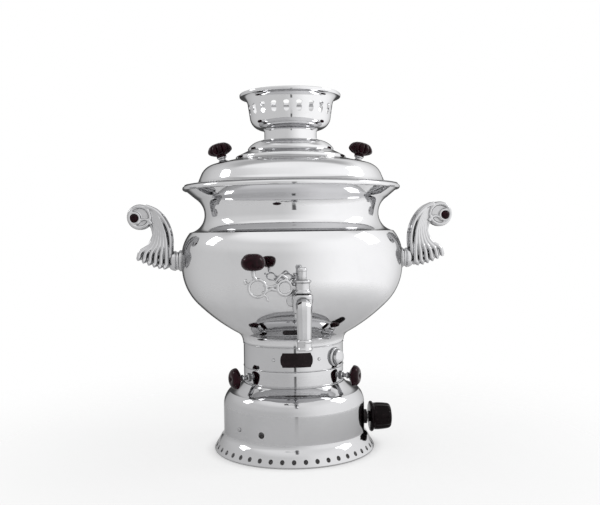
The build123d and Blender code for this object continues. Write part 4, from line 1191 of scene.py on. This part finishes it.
class SAMOVAR_OT_fittings(bpy.types.Operator):
    """The igniter, the bare plate and its rivets"""

    bl_idname = "samovar.fittings"
    bl_label = "Fittings"

    def execute(self, context):
        place = out_from(IGNITER_ANGLE, IGNITER_Z)
        bezel = [(8.6, 51.5), (9.5, 51.5), (9.5, 57.5), (11, 57.5), (11, 61.2), (9.9, 62.5), (8.6, 62.5)]
        fitting("igniter_ring", bezel, 0.4, 72, place, "samovar", "igniter_bezel")
        cap = Outline(0.0, 58.5).line(8.5, 58.5).line(8.5, 65.5).bend(7.2, 67.2, heading=90, parts=5)
        cap = spun("igniter_cap", cap.bend(0.0, 68.0, heading=165, parts=7).points, segments=72, place=place)
        dress(cap, "chromed_metal", "igniter_button", "igniter_button")
        rivet = self.make_rivet("plate_rivet_heads", 1.9, 1.15, out_from(-25.8, PLATE_Z, mm("stand_radius")))
        repeated(rivet, 2, "chromed_metal", step=51.6)
        dress(rivet, "chromed_metal", "samovar", "plate_rivets")
        head = self.make_rivet("wall_rivets", 2.5, 1.3, out_from(-51.0, 34.0, mm("base_radius")))
        repeated(head, 2, "inner_steel")
        dress(head, "inner_steel", "samovar", "bridge_rivets")
        self.make_plate()
        return {"FINISHED"}

    def make_rivet(self, name, r, rise, place):
        head = Outline(r, -0.4).line(r, 0.1).bend(0.0, rise, heading=90, parts=7)
        return spun(name, [*head.points, Vector((0, -0.4))], segments=24, place=place)

    def make_plate(self):
        """A black plate with lobed ends, bent to the stand."""
        angles = [math.radians(-75 + 15 * i) for i in range(11)]
        lobe = [(2.4 * math.cos(a), 6.2 * math.sin(a)) for a in angles]
        outline = [(-16, -8), (16, -8), *((16 + x, z) for x, z in lobe)]
        outline += [(16, 8), (-16, 8), *((-16 - x, -z) for x, z in lobe)]
        curve = bpy.data.curves.new("plate", "CURVE")
        curve.dimensions = "2D"
        curve.fill_mode = "BOTH"
        curve.extrude = 0.3 * MM
        curve.bevel_depth = 0.15 * MM
        spline = curve.splines.new("POLY")
        spline.points.add(len(outline) - 1)
        for point, (x, z) in zip(spline.points, outline):
            point.co = (x * MM, z * MM, 0, 1)
        spline.use_cyclic_u = True
        plate = baked(in_scene("plate", curve))
        bm = copied(plate)
        bmesh.ops.scale(bm, vec=(1 / MM,) * 3, verts=bm.verts)
        bmesh.ops.remove_doubles(bm, verts=bm.verts, dist=1e-3)
        for i in range(-9, 10):
            everything = bm.verts[:] + bm.edges[:] + bm.faces[:]
            bmesh.ops.bisect_plane(bm, geom=everything, plane_co=(2 * i, 0, 0), plane_no=(1, 0, 0))
        r = mm("stand_radius")
        for v in bm.verts:
            x, z, proud = v.co
            v.co = polar(r + 0.42 + proud, math.radians(FRONT) + x / r, PLATE_Z + z)
        bpy.data.objects.remove(plate)
        dress(made("bare_plate", bm), "black_plate", "samovar", "label_plate")


class SAMOVAR_OT_inner_parts(bpy.types.Operator):
    """The finish of every piece that keeps its own shape, such as the burner and the gas line"""

    bl_idname = "samovar.inner_parts"
    bl_label = "Inner parts"

    def execute(self, context):
        for part in frame["record"]["subparts"]:
            piece = frame["nodes"][part["node"]]
            piece.data.materials.clear()
            piece.data.materials.append(bpy.data.materials[part["material_slot"]])
        return {"FINISHED"}


# ---- the stage ------------------------------------------------------------------------------


class SAMOVAR_OT_stage(bpy.types.Operator):
    """A white floor, soft studio light and the camera"""

    bl_idname = "samovar.stage"
    bl_label = "Stage"

    def execute(self, context):
        self.make_camera()
        self.make_world()
        self.make_floor()
        self.make_lamp("Left softbox", -99, 31, (0.26, 0.34), 1.8)
        self.make_lamp("Right softbox", 92, 33, (0.4, 0.5), 3.4)
        return {"FINISHED"}

    def make_camera(self):
        camera = in_scene("Camera", bpy.data.cameras.new("Camera"))
        bpy.context.scene.camera = camera
        camera.data.lens = LENS
        camera.data.sensor_width = 36.0
        side = math.radians(CAMERA_SIDE)
        camera.location = (CAMERA_REACH * math.sin(side), -CAMERA_REACH * math.cos(side), CAMERA_HEIGHT)
        heading = side - math.radians(0.6)
        pitch = math.radians(CAMERA_PITCH)
        flat = math.cos(pitch)
        forward = Vector((-math.sin(heading) * flat, math.cos(heading) * flat, math.sin(pitch)))
        roll = Matrix.Rotation(math.radians(CAMERA_ROLL), 4, forward)
        look = forward.to_track_quat("-Z", "Y").to_matrix().to_4x4()
        camera.rotation_euler = (roll @ look).to_euler()

    def make_world(self):
        """Even white light, which polished metal sees as a studio with a bright right side and dark flags."""
        world = bpy.data.worlds.new("Studio")
        bpy.context.scene.world = world
        world.use_nodes = True
        tree = world.node_tree
        tree.nodes.clear()
        direction = node(tree, "ShaderNodeTexCoord", out="Generated")
        _, backward, upward = split(tree, direction)
        level = node(tree, "ShaderNodeVectorMath", {0: direction, 1: (1, 1, 0)}, operation="MULTIPLY")
        rightward, _, _ = split(tree, node(tree, "ShaderNodeVectorMath", {0: level}, operation="NORMALIZE"))
        # A horizon and a sky that are brighter on the right, and a bright top in front.
        side = spread(tree, rightward, -0.4, 0.85)
        horizon = sum_of(tree, (side, 0.6), (1.0, 0.8))
        sky = sum_of(tree, (side, 0.5), (1.0, 0.92))
        top = blend(tree, spread(tree, backward, -0.05, 0.25), 1.25, 0.6)
        level = blend(tree, spread(tree, upward, 0.1, 0.5), horizon, sky)
        level = blend(tree, spread(tree, upward, 0.6, 0.85), level, top)
        # A dark flag straight behind, which draws the thin dark line along every edge.
        level = blend(tree, spread(tree, backward, 0.87, 0.95), level, 0.12)
        # A dark slit below the camera, which the upright walls show as a line down their middle.
        left, right = spread(tree, rightward, -0.06, -0.03), spread(tree, rightward, 0.03, 0.06, 1.0, 0.0)
        slit = sum_of(tree, (right, left))
        slit = sum_of(tree, (slit, spread(tree, upward, -0.155, -0.135, 1.0, 0.0)))
        slit = sum_of(tree, (slit, spread(tree, backward, -0.5, -0.3, 1.0, 0.0)))
        level = blend(tree, slit, level, 0.15)
        rays = tree.nodes.new("ShaderNodeLightPath").outputs
        strength = blend(tree, rays["Is Camera Ray"], level, 1.0)
        plain = node(tree, "ShaderNodeBackground", {"Color": WHITE, "Strength": PLAIN_LIGHT})
        seen = node(tree, "ShaderNodeBackground", {"Color": WHITE, "Strength": strength})
        both = node(tree, "ShaderNodeMixShader", {0: any_ray(tree, rays), 1: plain, 2: seen})
        node(tree, "ShaderNodeOutputWorld", {"Surface": both})

    def make_floor(self):
        """A matt floor that turns white a little way off the foot and fades out far from it."""
        bm = bmesh.new()
        bmesh.ops.create_circle(bm, cap_ends=True, segments=96, radius=1.6)
        bmesh.ops.translate(bm, verts=bm.verts, vec=(0, 0, -0.0004))
        floor = in_scene("Floor", mesh_of("Floor", bm))
        material = bpy.data.materials.new("White floor")
        material.use_nodes = True
        tree = material.node_tree
        surface = tree.nodes["Principled BSDF"]
        matt = {"Base Color": (0.93, 0.93, 0.93, 1), "Roughness": 0.9, "Specular IOR Level": 0.0}
        for label, value in matt.items():
            surface.inputs[label].default_value = value
        far = length_of(tree, node(tree, "ShaderNodeTexCoord", out="Object"))
        beside = spread(tree, far, 0.085, 0.11, 0.0, 0.7)
        rays = tree.nodes.new("ShaderNodeLightPath").outputs
        white_share = sum_of(tree, (rays["Is Camera Ray"], beside), (rays["Is Glossy Ray"], 0.2))
        white = node(tree, "ShaderNodeEmission")
        lit = node(tree, "ShaderNodeMixShader", {0: white_share, 1: surface.outputs[0], 2: white})
        clear = node(tree, "ShaderNodeBsdfTransparent")
        faded = node(tree, "ShaderNodeMixShader", {0: spread(tree, far, 0.16, 0.6), 1: lit, 2: clear})
        feed(tree, tree.nodes["Material Output"].inputs["Surface"], faded)
        floor.data.materials.append(material)

    def make_lamp(self, name, azimuth, height, size, power):
        """A softbox at these angles from the front and the horizon."""
        lamp = bpy.data.lights.new(name, "AREA")
        lamp.shape = "RECTANGLE"
        lamp.size, lamp.size_y = size
        lamp.energy = power
        obj = in_scene(name, lamp)
        a, h = math.radians(azimuth), math.radians(height)
        middle = Vector((0, 0, LAMP_AIM))
        outwards = Vector((math.sin(a) * math.cos(h), -math.cos(a) * math.cos(h), math.sin(h)))
        obj.location = middle + outwards * LAMP_REACH
        obj.rotation_euler = (middle - obj.location).to_track_quat("-Z", "Y").to_euler()


# ---- the panel and the run ------------------------------------------------------------------

STEPS = (
    SAMOVAR_OT_stage,
    SAMOVAR_OT_inner_parts,
    SAMOVAR_OT_base,
    SAMOVAR_OT_stand,
    SAMOVAR_OT_vessel,
    SAMOVAR_OT_lid,
    SAMOVAR_OT_crown,
    SAMOVAR_OT_handles,
    SAMOVAR_OT_tap,
    SAMOVAR_OT_tap_key,
    SAMOVAR_OT_lid_knobs,
    SAMOVAR_OT_thumb_screws,
    SAMOVAR_OT_gas_knob,
    SAMOVAR_OT_fittings,
)


class SAMOVAR_PT_panel(bpy.types.Panel):
    """The samovar's sizes, finishes and pieces"""

    bl_idname = "SAMOVAR_PT_panel"
    bl_label = "Samovar"
    bl_space_type = "VIEW_3D"
    bl_region_type = "UI"
    bl_category = "Samovar"

    def draw(self, context):
        layout = self.layout
        for group in (context.scene.samovar_sizes, context.scene.samovar_finishes):
            for name in group.bl_rna.properties.keys():
                if name not in ("rna_type", "name"):
                    layout.prop(group, name)
        for step in STEPS:
            layout.operator(step.bl_idname)


CLASSES = (SamovarSizes, SamovarFinishes, *STEPS, SAMOVAR_PT_panel)


def register():
    for cls in CLASSES:
        bpy.utils.register_class(cls)
    bpy.types.Scene.samovar_sizes = PointerProperty(type=SamovarSizes)
    bpy.types.Scene.samovar_finishes = PointerProperty(type=SamovarFinishes)


def unregister():
    del bpy.types.Scene.samovar_finishes
    del bpy.types.Scene.samovar_sizes
    for cls in reversed(CLASSES):
        bpy.utils.unregister_class(cls)


def main():
    register()
    bpy.context.scene.view_settings.view_transform = "Standard"
    make_finishes()
    for step in STEPS:
        group, name = step.bl_idname.split(".")
        getattr(getattr(bpy.ops, group), name)()


if __name__ == "__main__":
    main()
